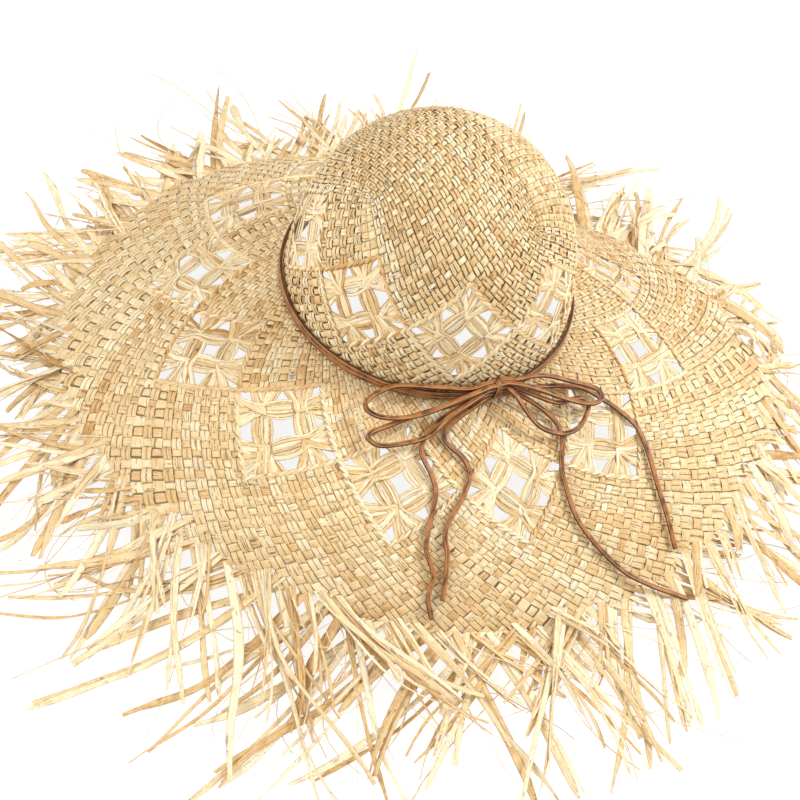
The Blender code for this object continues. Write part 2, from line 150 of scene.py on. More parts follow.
# The routes of the bow's loops and tails: azimuth in degrees, millimetres down the brim, and
# millimetres straight up from the brim.
LOOPS = {
    "bow_loop_left_upper": (
        (-8, 5, 15.4), (-18, 4, 15.0), (-28, 4.5, 14.0), (-35, 7, 12.5), (-39.5, 14, 11.5),
        (-42, 23, 11.2), (-41, 29, 11.6), (-37, 31, 12.5), (-31, 28.5, 14.0), (-24, 22.5, 14.8),
        (-16, 15.5, 16.6), (-9, 11, 17.6),
    ),
    "bow_loop_left_lower": (
        (-6, 6.5, 12.6), (-13, 12, 12.4), (-25, 20, 10.5), (-34, 32.5, 9.0), (-38, 41, 8.5),
        (-37, 45.5, 8.5), (-33, 45, 9.0), (-23, 34.5, 10.2), (-16, 21.5, 12.6), (-9, 13.8, 14.2),
    ),
    "bow_loop_right_upper": (
        (11, 6.5, 16.3), (18, 9, 16.2), (24, 14, 15.2), (30, 24, 13.5), (34.5, 34, 12.5),
        (36.5, 42, 12.0), (35.5, 47, 12.0), (32, 45, 12.6), (28, 38.5, 13.8), (23, 29.5, 16.0),
        (18, 21.5, 18.2), (12, 14, 20.0),
    ),
    "bow_loop_right_lower": (
        (9.5, 8.5, 14.0), (14, 16.5, 14.2), (22, 29, 11.6), (28, 33, 10.0), (31.5, 37.5, 9.5),
        (31.5, 42.5, 9.0), (29, 46, 8.6), (24.5, 49, 8.4), (19, 46, 8.6), (13.5, 37.5, 10.8),
        (10.5, 28, 14.0), (8, 18, 18.0),
    ),
}
TAILS = {
    "tail_left_outer": (
        (-5, 9, 10.2), (-12, 13.5, 9.4), (-18, 20, 7.8), (-22, 28, 5.4), (-23.5, 38, 3.7),
        (-22, 46, 3.4), (-20, 54, 3.4), (-19, 65, 3.8), (-20.3, 88, 4.4), (-20.3, 100, 4.4),
        (-18.6, 114, 4.4), (-19.2, 128, 4.4), (-18.2, 142, 4.4),
    ),
    "tail_left_inner": (
        (-4, 9.5, 6.8), (-10, 14.5, 5.6), (-15, 21, 4.2), (-16.8, 27, 3.5), (-15.5, 33, 3.4),
        (-11.5, 41, 3.4), (-10, 51, 3.4), (-12, 64, 3.8), (-16.5, 86, 4.4), (-16, 101, 4.4),
        (-16.2, 114, 4.4), (-16.6, 130, 4.4),
    ),
    "tail_right_inner": (
        (9, 10.5, 11.5), (13.5, 17, 9.4), (18, 26, 6.2), (20.5, 37, 4.0), (20, 47, 3.5),
        (17, 57, 3.4), (15, 70, 3.8), (14.5, 100, 4.4), (18.5, 136, 4.5), (22, 160, 9.0),
        (26.5, 188, 16.0),
    ),
    "tail_right_outer": (
        (10, 7.2, 6.8), (17, 10.5, 7.6), (24, 15.5, 7.0), (30, 22, 6.0), (35.5, 32.5, 5.0),
        (38, 46, 4.0), (39.5, 60, 3.4), (39.6, 77, 3.8), (37, 94, 4.4), (34.3, 111, 4.4),
        (32, 132, 4.4), (30, 152, 4.8),
    ),
}
# Where each lace enters the knot's side: a row from the bottom, and a column out from the crown.
WRAP_ROWS = {"lace_wrap_lower": 0, "lace_wrap_upper": 1}
LOOP_PLACES = {
    "bow_loop_left_upper": ((3, 0), (3, 1)),
    "bow_loop_left_lower": ((2, 0), (2, 1)),
    "bow_loop_right_upper": ((3, 0), (3, 1)),
    "bow_loop_right_lower": ((2, 0), (2, 1)),
}
TAIL_PLACES = {
    "tail_left_outer": (1, 1),
    "tail_left_inner": (0, 1),
    "tail_right_inner": (1, 1),
    "tail_right_outer": (0, 1),
}

# The studio
CAMERA_AZIMUTH = math.radians(-34)
CAMERA_ELEVATION = math.radians(46.1)
CAMERA_ROLL = math.radians(15.3)
CAMERA_DISTANCE = 1.3
CAMERA_LENS = 89.9
AIM_RIGHT = -0.0169  # from the middle of the crown's foot, across the view
AIM_UP = -0.0742
# Each light's place, as right, away and up in the camera's view, its width and its watts.
LIGHTS = {"key": ((0.95, 0.30, 1.05), 0.40, 13), "fill": ((-0.9, -0.6, 1.0), 0.8, 9)}
DAYLIGHT = 0.75
FLOOR_REACH = 4.0
FLOOR_GLOW = 0.85  # the paper is lit from all round, so it is nearly white


def linear(code):
    """An sRGB hex colour as linear red, green, blue."""
    values = [int(code[place : place + 2], 16) / 255 for place in (1, 3, 5)]
    return tuple(v / 12.92 if v <= 0.04045 else ((v + 0.055) / 1.055) ** 2.4 for v in values)


# ---------------------------------------------------------------- surfaces


def wave_sum(mean, waves, azimuth):
    total = np.full_like(azimuth, mean)
    for count, height, peak in waves:
        total = total + height * np.cos(count * (azimuth - math.radians(peak)))
    return np.radians(total)


def brim_width(azimuth):
    return BRIM_WIDTH + BRIM_WIDTH_SWELL * np.cos(2 * (azimuth - BRIM_SWELL_AZIMUTH))


def on_ring(azimuth, radius, height):
    return np.stack([radius * np.sin(azimuth), -radius * np.cos(azimuth), height], -1)


def brim_surface(azimuth, down):
    """Points `down` metres along the brim's slope, and the directions that face away from it."""
    azimuth, down = np.broadcast_arrays(np.asarray(azimuth, float), np.asarray(down, float))
    inner = wave_sum(INNER_SLOPE, INNER_WAVES, azimuth)
    outer = wave_sum(OUTER_SLOPE, OUTER_WAVES, azimuth)
    bend = (outer - inner) / brim_width(azimuth)
    bend = np.where(np.abs(bend) < 1e-5, 1e-5, bend)
    slope = inner + bend * down
    radius = CROWN_RADIUS + (np.sin(slope) - np.sin(inner)) / bend
    height = FOOT_HEIGHT + (np.cos(slope) - np.cos(inner)) / bend
    return on_ring(azimuth, radius, height), on_ring(azimuth, np.sin(slope), np.cos(slope))


def dome_outline(steps=2000):
    turn = np.linspace(0, math.pi / 2, steps)
    radius = CROWN_RADIUS * np.maximum(np.cos(turn), 0) ** (2 / CROWN_FULLNESS)
    height = CROWN_HEIGHT * np.sin(turn) ** (2 / CROWN_FULLNESS)
    length = np.concatenate([[0], np.cumsum(np.hypot(np.diff(radius), np.diff(height)))])
    return length, radius, height


OUTLINE = dome_outline()
DOME_LENGTH = OUTLINE[0][-1]


def dome_normals(points):
    """The directions that face away from the dome at points on it."""
    radius = np.maximum(np.hypot(points[..., 0], points[..., 1]), 1e-9)
    height = np.maximum(points[..., 2] - FOOT_HEIGHT, 0)
    across = (radius / CROWN_RADIUS) ** (CROWN_FULLNESS - 1) / CROWN_RADIUS
    up = (height / CROWN_HEIGHT) ** (CROWN_FULLNESS - 1) / CROWN_HEIGHT
    normal = np.stack(
        [across * points[..., 0] / radius, across * points[..., 1] / radius, up], -1
    )
    return unit(normal)


def crown_surface(azimuth, up):
    """Points `up` metres along the crown's wall, and the directions that face away from it."""
    azimuth, up = np.broadcast_arrays(np.asarray(azimuth, float), np.asarray(up, float))
    radius = np.interp(up, OUTLINE[0], OUTLINE[1])
    height = np.interp(up, OUTLINE[0], OUTLINE[2]) + np.minimum(up, 0)
    points = on_ring(azimuth, radius, FOOT_HEIGHT + height)
    return points, dome_normals(points)


def onto_dome(points):
    """Points moved straight out from the middle of the crown's foot until they lie on it."""
    radius = np.hypot(points[:, 0], points[:, 1]) / CROWN_RADIUS
    height = np.maximum(points[:, 2] - FOOT_HEIGHT, 1e-6) / CROWN_HEIGHT
    scale = (radius**CROWN_FULLNESS + height**CROWN_FULLNESS) ** (-1 / CROWN_FULLNESS)
    moved = points.copy()
    moved[:, :2] *= scale[:, None]
    moved[:, 2] = FOOT_HEIGHT + height * CROWN_HEIGHT * scale
    return moved


def unit(vectors):
    return vectors / np.maximum(np.linalg.norm(vectors, axis=-1, keepdims=True), 1e-12)


# ---------------------------------------------------------------- meshes


class Heap:
    """Grids of quads gathered for one mesh, each corner with its place on its strand (along in
    millimetres, across from 0 to 1) and its grade (tone, and height over the strand's middle)."""

    def __init__(self):
        self.points, self.strand, self.grade, self.faces = [], [], [], []
        self.count = 0

    def add_grids(self, points, along, across, tone, height):
        """points is (grids, rows, columns, 3), and the others broadcast to its first three."""
        grids, rows, columns = points.shape[:3]
        size = (grids, rows, columns)
        self.points.append(points.reshape(-1, 3))
        self.strand.append(
            np.stack([np.broadcast_to(along, size), np.broadcast_to(across, size)], -1)
            .reshape(-1, 2)
        )
        self.grade.append(
            np.stack([np.broadcast_to(tone, size), np.broadcast_to(height, size)], -1)
            .reshape(-1, 2)
        )
        index = np.arange(grids * rows * columns).reshape(size) + self.count
        quads = np.stack(
            [index[:, :-1, :-1], index[:, :-1, 1:], index[:, 1:, 1:], index[:, 1:, :-1]], -1
        )
        self.faces.append(quads.reshape(-1, 4))
        self.count += grids * rows * columns

    def build(self, name, material):
        """The mesh of all the grids, with their shared corners joined."""
        points = np.concatenate(self.points)
        strand = np.concatenate(self.strand)
        grade = np.concatenate(self.grade)
        faces = np.concatenate(self.faces)
        corners = faces.reshape(-1)
        strand, grade = strand[corners], grade[corners]
        keys = np.round(points / JOIN_WITHIN).astype(np.int64)
        _, first, new = np.unique(keys, axis=0, return_index=True, return_inverse=True)
        points, faces = points[first], new.reshape(-1)[faces]
        mesh = bpy.data.meshes.new(name)
        mesh.vertices.add(len(points))
        mesh.vertices.foreach_set("co", points.astype(np.float32).reshape(-1))
        mesh.loops.add(faces.size)
        mesh.loops.foreach_set("vertex_index", faces.astype(np.int32).reshape(-1))
        mesh.polygons.add(len(faces))
        mesh.polygons.foreach_set("loop_start", np.arange(0, faces.size, 4, dtype=np.int32))
        mesh.update(calc_edges=True)
        for layer, values in (("strand", strand), ("grade", grade)):
            mesh.uv_layers.new(name=layer).data.foreach_set(
                "uv", values.astype(np.float32).reshape(-1)
            )
        mesh.validate()
        mesh.shade_smooth()
        mesh.materials.append(material)
        thing = bpy.data.objects.new(name, mesh)
        bpy.context.scene.collection.objects.link(thing)
        return thing


def ribbons(heap, centre, up, width, along, tone, height=0.0, arch=0.12, twist=0.0):
    """Adds thin folded ribbons. centre and up are (ribbons, steps, 3), width is broadcast to
    (ribbons, steps), and arch is how far the fold stands out, as a share of the width."""
    forward = np.gradient(centre, axis=1)
    forward = unit(forward)
    side = unit(np.cross(forward, up))
    over = np.cross(side, forward)
    twist = np.broadcast_to(twist, centre.shape[:2])[..., None]
    side, over = (
        side * np.cos(twist) + over * np.sin(twist),
        over * np.cos(twist) - side * np.sin(twist),
    )
    width = np.broadcast_to(width, centre.shape[:2])[..., None, None]
    places = np.array([-0.5, -0.2, 0.2, 0.5])[None, None, :, None]
    folds = np.array([-0.5, 0.5, 0.35, -0.5])[None, None, :, None]
    points = (
        centre[:, :, None]
        + side[:, :, None] * places * width
        + over[:, :, None] * folds * width * np.reshape(arch, (-1, 1, 1, 1))
    )
    across = (places[..., 0] + 0.5)
    heap.add_grids(points, along[..., None], across, np.reshape(tone, (-1, 1, 1)), height)


def tube(heap, path, up, half_wide, half_thick, along, tone, closed=False, sides=10):
    """Adds a lace of rounded-rectangle section along a path, with rounded ends."""
    path = np.asarray(path, float)
    forward = np.gradient(path, axis=0)
    if closed:
        forward = np.roll(path, -1, 0) - np.roll(path, 1, 0)
    forward = unit(forward)
    side = unit(np.cross(forward, up))
    over = np.cross(side, forward)
    turn = np.linspace(0, 2 * math.pi, sides + 1)
    power = 2 / 3.2
    wide = np.sign(np.cos(turn)) * np.abs(np.cos(turn)) ** power
    thick = np.sign(np.sin(turn)) * np.abs(np.sin(turn)) ** power
    size = np.ones(len(path))
    if not closed:
        # The ends draw in to a small rounded face.
        path = np.concatenate([path[:1], path, path[-1:]])
        side = np.concatenate([side[:1], side, side[-1:]])
        over = np.concatenate([over[:1], over, over[-1:]])
        along = np.concatenate([along[:1], along, along[-1:]])
        size = np.concatenate([[0.02], [0.9], size[2:], [0.9], [0.02]])
    points = (
        path[:, None]
        + side[:, None] * (wide[None, :, None] * half_wide * size[:, None, None])
        + over[:, None] * (thick[None, :, None] * half_thick * size[:, None, None])
    )
    if closed:
        points = np.concatenate([points, points[:1]])
        along = np.concatenate([along, along[-1:] + 1])
    heap.add_grids(points[None], along[None, :, None], turn[None, None] / (2 * math.pi), tone, 0)


# ---------------------------------------------------------------- plait


class Lattice:
    """A plait's grid: named corners on a surface, and square cells between them. A cell's first
    strand runs from its left-lower edge to its right-upper one."""

    def __init__(self):
        self.number = {}
        self.cells = []

    def corner(self, key):
        return self.number.setdefault(key, len(self.number))

    def cell(self, *keys):
        self.cells.append([self.corner(key) for key in keys])

    def order(self):
        """Which strand is on top in each cell, so that each strand goes over one and under
        the next, and a number for each strand."""
        edges = {}
        for cell, corners in enumerate(self.cells):
            for side in range(4):
                pair = frozenset((corners[side], corners[(side + 1) % 4]))
                edges.setdefault(pair, []).append((cell, side))
        beside = [[] for _ in self.cells]
        for meeting in edges.values():
            if len(meeting) == 2:
                (one, side_one), (two, side_two) = meeting
                beside[one].append((side_one % 2, two, side_two % 2))
                beside[two].append((side_two % 2, one, side_one % 2))
        top = [-1] * len(self.cells)
        for start in range(len(self.cells)):
            if top[start] >= 0:
                continue
            top[start] = sum(self.cells[start]) % 2 if start else 1
            queue = deque([start])
            while queue:
                cell = queue.popleft()
                for way, other, other_way in beside[cell]:
                    if top[other] < 0:
                        top[other] = 1 - other_way if top[cell] == way else other_way
                        queue.append(other)
        strand = [[-1, -1] for _ in self.cells]
        count = 0
        for start in range(len(self.cells)):
            for way in (0, 1):
                if strand[start][way] >= 0:
                    continue
                strand[start][way] = count
                queue = deque([(start, way)])
                while queue:
                    cell, cell_way = queue.popleft()
                    for near, other, other_way in beside[cell]:
                        if near == cell_way and strand[other][other_way] < 0:
                            strand[other][other_way] = count
                            queue.append((other, other_way))
                count += 1
        return np.array(top), np.array(strand), count


def in_diamond(column, row, strands):
    """Whether a cell's middle lies in one of the openwork diamonds."""
    across = abs((column / strands + 1) % 2 - 1)
    return across + abs(row / strands - 1) < 0.999


def ring_lattice(panels, strands, low, high):
    """The cells of a bias plait round the hat, between two rows of corners, with the diamonds
    left open. Row 0 is at the diamonds' near corners and row 2 * strands at their far ones."""
    lattice = Lattice()
    around = 2 * panels * strands
    for row in range(low + 1, high):
        for column in range((row + 1) % 2, around, 2):
            if not in_diamond(column, row, strands):
                lattice.cell(
                    (column, row - 1),
                    ((column + 1) % around, row),
                    (column, row + 1),
                    ((column - 1) % around, row),
                )
    return lattice


# A strand's section, as places across it, heights in millimetres and the places that its finish
# sees, which gets painted shade near 0 and 1. A paired strand is two leaves side by side, with a
# groove between them that its finish darkens with painted shade.
SINGLE = np.array([[0, 0.17, 0.5, 0.83, 1], [-0.42, 0, -0.08, 0, -0.42], [0.1, 0.2, 0.5, 0.8, 0.9]])
PAIRED = np.array(
    [[0, 0.24, 0.5, 0.76, 1], [-0.48, 0.10, -0.36, 0.10, -0.48], [-0.16, 0.5, 1, 0.5, -0.16]]
)


class Strands:
    """What each strand of a plait is like: how wide, how high, how dark, and single or paired."""

    def __init__(self, count, ribs, fill, rng):
        self.ribs = ribs
        self.paired = ribs & (rng.random(count) > ONE_LEAF_RIBS)
        wide = fill * np.where(ribs, RIB_WIDTH, SINGLE_WIDTH) + rng.normal(0, 0.07, count)
        self.share = np.clip(wide, np.where(ribs, LEAST_RIB, LEAST_SINGLE), 1.3)
        self.shift = rng.normal(0, 0.03, count)
        self.stack = rng.normal(0, 0.06 * MM, count) + np.where(ribs, 0.10, 0.0) * MM
        # A rib stays straighter than the single strands that bend over and under it.
        self.dip = np.where(ribs, 0.45, 1.1)
        self.tone = np.clip(rng.normal(0.5, 0.13, count), 0, 1)


def add_plait(heap, points, normals, cells, top, strand, kinds, relief, rng, steps=5):
    """Adds both strands of each cell: a crowned, creased ribbon that rises over the other
    strand or dips under it."""
    corners, facing = points[cells], normals[cells]
    cell_size = np.linalg.norm(corners[:, 2] - corners[:, 0], axis=-1) / math.sqrt(2)
    u = np.linspace(0, 1, steps + 1)[None, :, None]
    for way in (0, 1):
        own = strand[:, way]
        section = np.where(kinds.paired[own][:, None, None], PAIRED[None], SINGLE[None])
        # Where no rib closes the plait, the single strands lie edge to edge.
        open_cell = ~kinds.ribs[strand].any(1)
        share = np.maximum(kinds.share[own], np.where(open_cell, CLOSED_WIDTH, 0))
        v = 0.5 + (section[:, 0] - 0.5) * share[:, None] + kinds.shift[own][:, None]
        u, v = u * np.ones((len(cells), 1, 5)), v[:, None] * np.ones((1, steps + 1, 1))
        # Way 1 runs from corners 0-3 to corners 1-2, and way 0 from corners 0-1 to corners 3-2.
        s, t = (u, v) if way else (v, u)
        weights = np.stack([(1 - s) * (1 - t), s * (1 - t), s * t, (1 - s) * t], -1)
        place = np.einsum("cuvk,ckx->cuvx", weights, corners)
        out = unit(np.einsum("cuvk,ckx->cuvx", weights, facing))
        over = np.where(top == way, 1.0, -1.0)[:, None, None]
        lift = over * (1 - np.abs(2 * u - 1) ** 2.4)
        swell = 1 + rng.normal(0, 0.12, (len(cells), 1, 1))
        dip = np.where(lift < 0, kinds.dip[own][:, None, None], 1)
        level = lift * dip * relief * swell + section[:, 1][:, None] * MM
        place = place + out * (level + kinds.stack[own][:, None, None])[..., None]
        length = cell_size[:, None, None] / MM
        start = (own * 7.31 + np.arange(len(cells)) * 3.17)[:, None, None]
        tone = kinds.tone[own][:, None, None] + rng.normal(0, 0.06, (len(cells), 1, 1))
        # A paired strand shows on both sides of the single one that it passes under, so it gets less
        # painted shade where it dips.
        shown = np.where(kinds.paired[own][:, None, None], 0.55 * lift + 0.36, lift)
        heap.add_grids(
            place if way else place[:, :, ::-1], start + u * length,
            section[:, 2][:, None] * np.ones_like(u), np.clip(tone, 0, 1), shown,
        )


def mostly_ribs(points, cells, strand, count, way):
    """Which strands are ribs: those that run the given way on the front of the hat."""
    front = (points[cells].mean(1) @ on_ring(FRONT_AZIMUTH, 1.0, 0.0) > 0)[:, None]
    weight = np.where(front, 1.0, 0.001) * np.ones((1, 2))
    along = weight * (np.arange(2)[None] == way)
    total = np.bincount(strand.reshape(-1), weight.reshape(-1), count)
    return np.bincount(strand.reshape(-1), along.reshape(-1), count) > total / 2


def sector_of(points, cells, sectors):
    middle = points[cells].mean(1)
    turn = np.arctan2(middle[:, 0], -middle[:, 1]) % (2 * math.pi)
    return (turn / (2 * math.pi) * sectors).astype(int) % sectors


def make_plait(name, lattice, points, normals, material, settings, seed, sectors, way):
    """Builds a plait as one piece for each sector of the hat."""
    rng = np.random.default_rng(seed)
    top, strand, count = lattice.order()
    cells = np.array(lattice.cells)
    ribs = mostly_ribs(points, cells, strand, count, way)
    kinds = Strands(count, ribs, settings.strand_fill, rng)
    relief = settings.relief * (CROWN_RELIEF if name.startswith("crown") else 1.0)
    where = sector_of(points, cells, sectors)
    pieces = []
    for sector in range(sectors):
        chosen = where == sector
        heap = Heap()
        add_plait(
            heap, points, normals, cells[chosen], top[chosen], strand[chosen], kinds, relief, rng
        )
        suffix = f"_{sector + 1}" if sectors > 1 else ""
        pieces.append(heap.build(name + suffix, material))
    return pieces


def jitter(points, normals, rng, amount, held=None):
    """Moves each corner a little along the surface, as in hand work."""
    move = rng.normal(0, amount, points.shape)
    move -= normals * (move * normals).sum(-1, keepdims=True)
    if held is not None:
        move[held] = 0
    return points + move


def on_diamond_border(column, row, strands):
    across = abs((column / strands + 1) % 2 - 1)
    return across + abs(row / strands - 1) < 1.001


def brim_distance(place, azimuth):
    """How far down the brim a lattice row is. Place -1 to 1 is across the diamonds."""
    near = BRIM_PANEL_CENTRE - BRIM_PANEL_HALF
    far = BRIM_PANEL_CENTRE + BRIM_PANEL_HALF
    before, after = place + 1, place - 1
    inside = BRIM_PANEL_CENTRE + BRIM_PANEL_HALF * place
    nearer = near + BRIM_PANEL_HALF * before + INNER_GATHER * before**2
    full = BRIM_PANEL_HALF * OUTER_REACH + OUTER_SPREAD * OUTER_REACH**2
    share = (BRIM_PANEL_HALF * after + OUTER_SPREAD * after**2) / full
    further = far + (brim_width(azimuth) - far) * share
    return np.where(place < -1, nearer, np.where(place > 1, further, inside))


def crown_distance(place):
    after = np.maximum(place - 1, 0)
    return CROWN_PANEL_CENTRE + CROWN_PANEL_HALF * place - DOME_NARROWING * after**2


def brim_corners(lattice, strands):
    keys = np.array(list(lattice.number))
    azimuth = BRIM_PANEL_AZIMUTH + math.pi / BRIM_PANELS * keys[:, 0] / strands
    down = brim_distance(keys[:, 1] / strands - 1, azimuth)
    return brim_surface(azimuth, np.maximum(down, -FOOT_OVERLAP)), keys


# ---------------------------------------------------------------- materials


TIMES = {"operation": "MULTIPLY"}
TIMES_PLUS = {"operation": "MULTIPLY_ADD"}
MINUS = {"operation": "SUBTRACT"}
SIZE_OF = {"operation": "ABSOLUTE"}
SINE = {"operation": "SINE"}
COSINE = {"operation": "COSINE"}
LARGER = {"operation": "MAXIMUM"}
SOFT_STEP = {"interpolation_type": "SMOOTHSTEP"}
COLOURS = {"data_type": "RGBA"}  # inputs 0, 6 and 7 are the share and the two colours
MIXED = 2  # and this output is the mixed colour


def add_node(tree, kind, inputs=(), settings=None, out=0):
    """Adds a node with its settings, and its inputs linked or set by order or by name. Gives
    the wanted output."""
    node = tree.nodes.new("ShaderNode" + kind)
    for key, value in (settings or {}).items():
        setattr(node, key, value)
    for key, value in inputs.items() if isinstance(inputs, dict) else enumerate(inputs):
        if isinstance(value, bpy.types.NodeSocket):
            tree.links.new(value, node.inputs[key])
        else:
            node.inputs[key].default_value = value
    return node.outputs[out]


def new_material(name, roughness, specular):
    """A new material, a way to add nodes to it, and its shader."""
    material = bpy.data.materials.new(name)
    material.use_nodes = True
    shader = material.node_tree.nodes["Principled BSDF"]
    shader.inputs["Roughness"].default_value = roughness
    shader.inputs["Specular IOR Level"].default_value = specular
    return material, partial(add_node, material.node_tree), shader


def give_surface(shader, colour, height, strength, depth):
    """Gives a shader its colour, and bumps of a depth in millimetres."""
    tree = shader.id_data
    bump = add_node(
        tree, "Bump", {"Strength": strength, "Distance": depth * MM, "Height": height}
    )
    tree.links.new(colour, shader.inputs["Base Color"])
    tree.links.new(bump, shader.inputs["Normal"])


def mapped(node, layer):
    """The two values that a piece's mesh holds in one of its layers."""
    values = node("UVMap", settings={"uv_map": layer})
    outputs = node("SeparateXYZ", (values,)).node.outputs
    return outputs[0], outputs[1]


def opaque(colour):
    return (*tuple(colour), 1.0)


def strand_noise(node, strand, lengthwise, crosswise, seed, detail):
    """Noise that is drawn out along each strand, and different on strands of other tones."""
    scales = zip(strand, (lengthwise, crosswise, seed))
    place = node("CombineXYZ", [node("Math", pair, TIMES) for pair in scales])
    return node("TexNoise", {"Vector": place, "Scale": 1.0, "Detail": detail, "Roughness": 0.62})


TONE_STOPS = (0.12, 0.45, 0.74, 1.0)  # where the pale, usual, warm and golden strands come
CROWN_SHADE_DEPTH = 0.6  # how much darker the crown's painted shade is than the brim's


def raffia_material(
    name, settings, edge_shade, dip_shade, seam_shade, fibre=0.22, edge_start=0.76, brown=1.0
):
    """Natural raffia: split palm leaf, dried and hand plaited. Long fibres give each strand fine
    streaks, and no two strands have the same tone. Painted shade darkens its edges, the seams
    between its leaves and the places where it dips under. It has only a faint sheen."""
    material, node, shader = new_material(name, roughness=0.56, specular=0.35)
    along, across = mapped(node, "strand")
    tone, height = mapped(node, "grade")
    strand = (along, across, tone)
    # Fibres are about 0.2 mm wide on a strand 6 mm across, drawn coarser, and streaks are
    # some 8 mm long.
    fibres = strand_noise(node, strand, 0.13, 2 / fibre, 31.0, 4.0)
    blotch = strand_noise(node, strand, 0.16, 1.0, 13.0, 1.0)
    shade = node("Math", (node("Math", (fibres, 0.5), MINUS), 0.8, tone), TIMES_PLUS)
    blotch = node("Math", (blotch, 0.5), MINUS)
    shade = node("Math", (blotch, 0.55, shade), TIMES_PLUS | {"use_clamp": True})
    ramp = node("ValToRGB", (shade,))
    stops = ramp.node.color_ramp.elements
    colours = (
        settings.raffia_pale, settings.raffia, settings.raffia_warm, settings.raffia_golden
    )
    for index, (position, colour) in enumerate(zip(TONE_STOPS, colours)):
        stop = stops[index] if index < 2 else stops.new(position)
        stop.position = position
        stop.color = opaque(colour)
    # Painted shade along the strands' edges shows as brown lines, broken up where the next strand
    # lies against them.
    edge = node("Math", (node("Math", (across, 2.0, -1.0), TIMES_PLUS),), SIZE_OF)
    edge = node("MapRange", (edge, edge_start, 0.97), SOFT_STEP)
    broken = strand_noise(node, strand, 0.35, 0.6, 57.0, 2.0)
    edge = node("Math", (edge, node("MapRange", (broken, 0.32, 0.48), SOFT_STEP)), TIMES)
    # Most strands are two or three leaves laid together, with painted shade as a brown line in the
    # groove between them.
    seam = strand_noise(node, strand, 0.035, 2.7, 91.0, 0.0)
    seam = node("Math", (node("Math", (seam, 0.5), MINUS),), SIZE_OF)
    seam = node("MapRange", (seam, 0.034, 0.008), SOFT_STEP)
    seam = node("Math", (seam, node("MapRange", (broken, 0.6, 0.4), SOFT_STEP)), TIMES)
    # Painted shade where a strand dips under the one that it crosses.
    dip = node("MapRange", (height, 0.34, -0.12), SOFT_STEP)
    edge = node("Math", (edge, edge_shade), TIMES)
    dark = node("Math", (edge, node("Math", (dip, dip_shade), TIMES)), LARGER)
    dark = node("Math", (dark, node("Math", (seam, seam_shade), TIMES)), LARGER)
    # The colour of the painted shade on edges, seams and dips, made darker by brown for the crown.
    shadow = opaque(brown * part for part in settings.raffia_shadow)
    colour = node("Mix", {0: dark, 6: ramp, 7: shadow}, COLOURS, MIXED)
    fibres = node("Math", (seam, -1.5, fibres), TIMES_PLUS)
    give_surface(shader, colour, fibres, 0.55, 0.18)
    return material


def leather_material(settings):
    """Brown leather lace: cut from a hide, dyed and waxed. The grain is fine and matt, the sides are
    darkened with painted shade, the four corners are lightened with a painted highlight, and the
    colour varies along its length."""
    material, node, shader = new_material("brown_leather_lace", roughness=0.47, specular=0.45)
    along, across = mapped(node, "strand")
    position = node("TexCoord", out="Object")
    # Grain cells of about 0.4 mm, drawn a little coarser than the real ones.
    grain = node("TexVoronoi", {"Vector": position, "Scale": 2200.0}, out="Distance")
    cloudy = node("TexNoise", {"Vector": position, "Scale": 160.0, "Detail": 3.0})
    drawn = node(
        "CombineXYZ", (node("Math", (along, 0.06), TIMES), node("Math", (across, 14.0), TIMES))
    )
    drawn = node("TexNoise", {"Vector": drawn, "Scale": 1.0, "Detail": 3.0})
    shade = node("Math", (node("Math", (drawn, 0.5), MINUS), 1.2, cloudy), TIMES_PLUS)
    dark = opaque(settings.leather_dark)
    colour = node(
        "Mix", {0: node("MapRange", (shade, 0.3, 0.62)), 6: dark, 7: opaque(settings.leather)},
        COLOURS, MIXED,
    )
    # Across goes once round the section: its sides are at 0 and a half, and are darkened with
    # painted shade.
    side = node("Math", (node("Math", (across, 2 * math.pi), TIMES),), COSINE)
    side = node("MapRange", (node("Math", (side,), SIZE_OF), 0.78, 0.97), SOFT_STEP)
    side = node("Math", (side, 0.85), TIMES)
    colour = node("Mix", {0: side, 6: colour, 7: dark}, COLOURS, MIXED)
    # Painted highlight on the four corners between its sides and faces.
    corner = node("Math", (node("Math", (across, 4 * math.pi), TIMES),), SINE)
    highlit = node("MapRange", (node("Math", (corner,), SIZE_OF), 0.78, 1.0, 0.0, 0.45), SOFT_STEP)
    colour = node("Mix", {0: highlit, 6: colour, 7: opaque(settings.leather_highlight)}, COLOURS, MIXED)
    give_surface(shader, colour, grain, 0.35, 0.12)
    return material


RIB_PITCH = 0.9  # of the ribbon's crosswise ribs, in millimetres
RIB_SHADE = 0.62  # the darkest colour, as a share of the colour on the ribs: painted shade between the ribs and the slubs' darker spots


def cotton_material(settings):
    """Cotton grosgrain ribbon: close crosswise ribs with painted shade between them, matt, with
    slubs in the thread.
    """
    material, node, shader = new_material("cotton_grosgrain", roughness=0.86, specular=0.2)
    along = mapped(node, "strand")[0]
    # The ribs' sine gives painted shade between them as well as their bumps.
    ribs = node("Math", (node("Math", (along, math.pi / RIB_PITCH), TIMES),), SINE)
    ribs = node("Math", (ribs,), SIZE_OF)
    slub = node(
        "TexNoise", {"Vector": node("TexCoord", out="Object"), "Scale": 420.0, "Detail": 3.0}
    )
    shade = node("Math", (slub, 0.5, node("Math", (ribs, 0.75), TIMES)), TIMES_PLUS)
    low = opaque(RIB_SHADE * part for part in settings.cotton)
    colour = node("Mix", {0: shade, 6: low, 7: opaque(settings.cotton)}, COLOURS, MIXED)
    give_surface(shader, colour, ribs, 0.7, 0.3)
    return material


# ---------------------------------------------------------------- settings


def hex_colour(name, code, description):
    return bpy.props.FloatVectorProperty(
        name=name, description=description, default=linear(code), subtype="COLOR", min=0, max=1
    )


def length_setting(name, millimetres, description):
    return bpy.props.FloatProperty(
        name=name, description=description, default=millimetres * MM, unit="LENGTH", min=0
    )


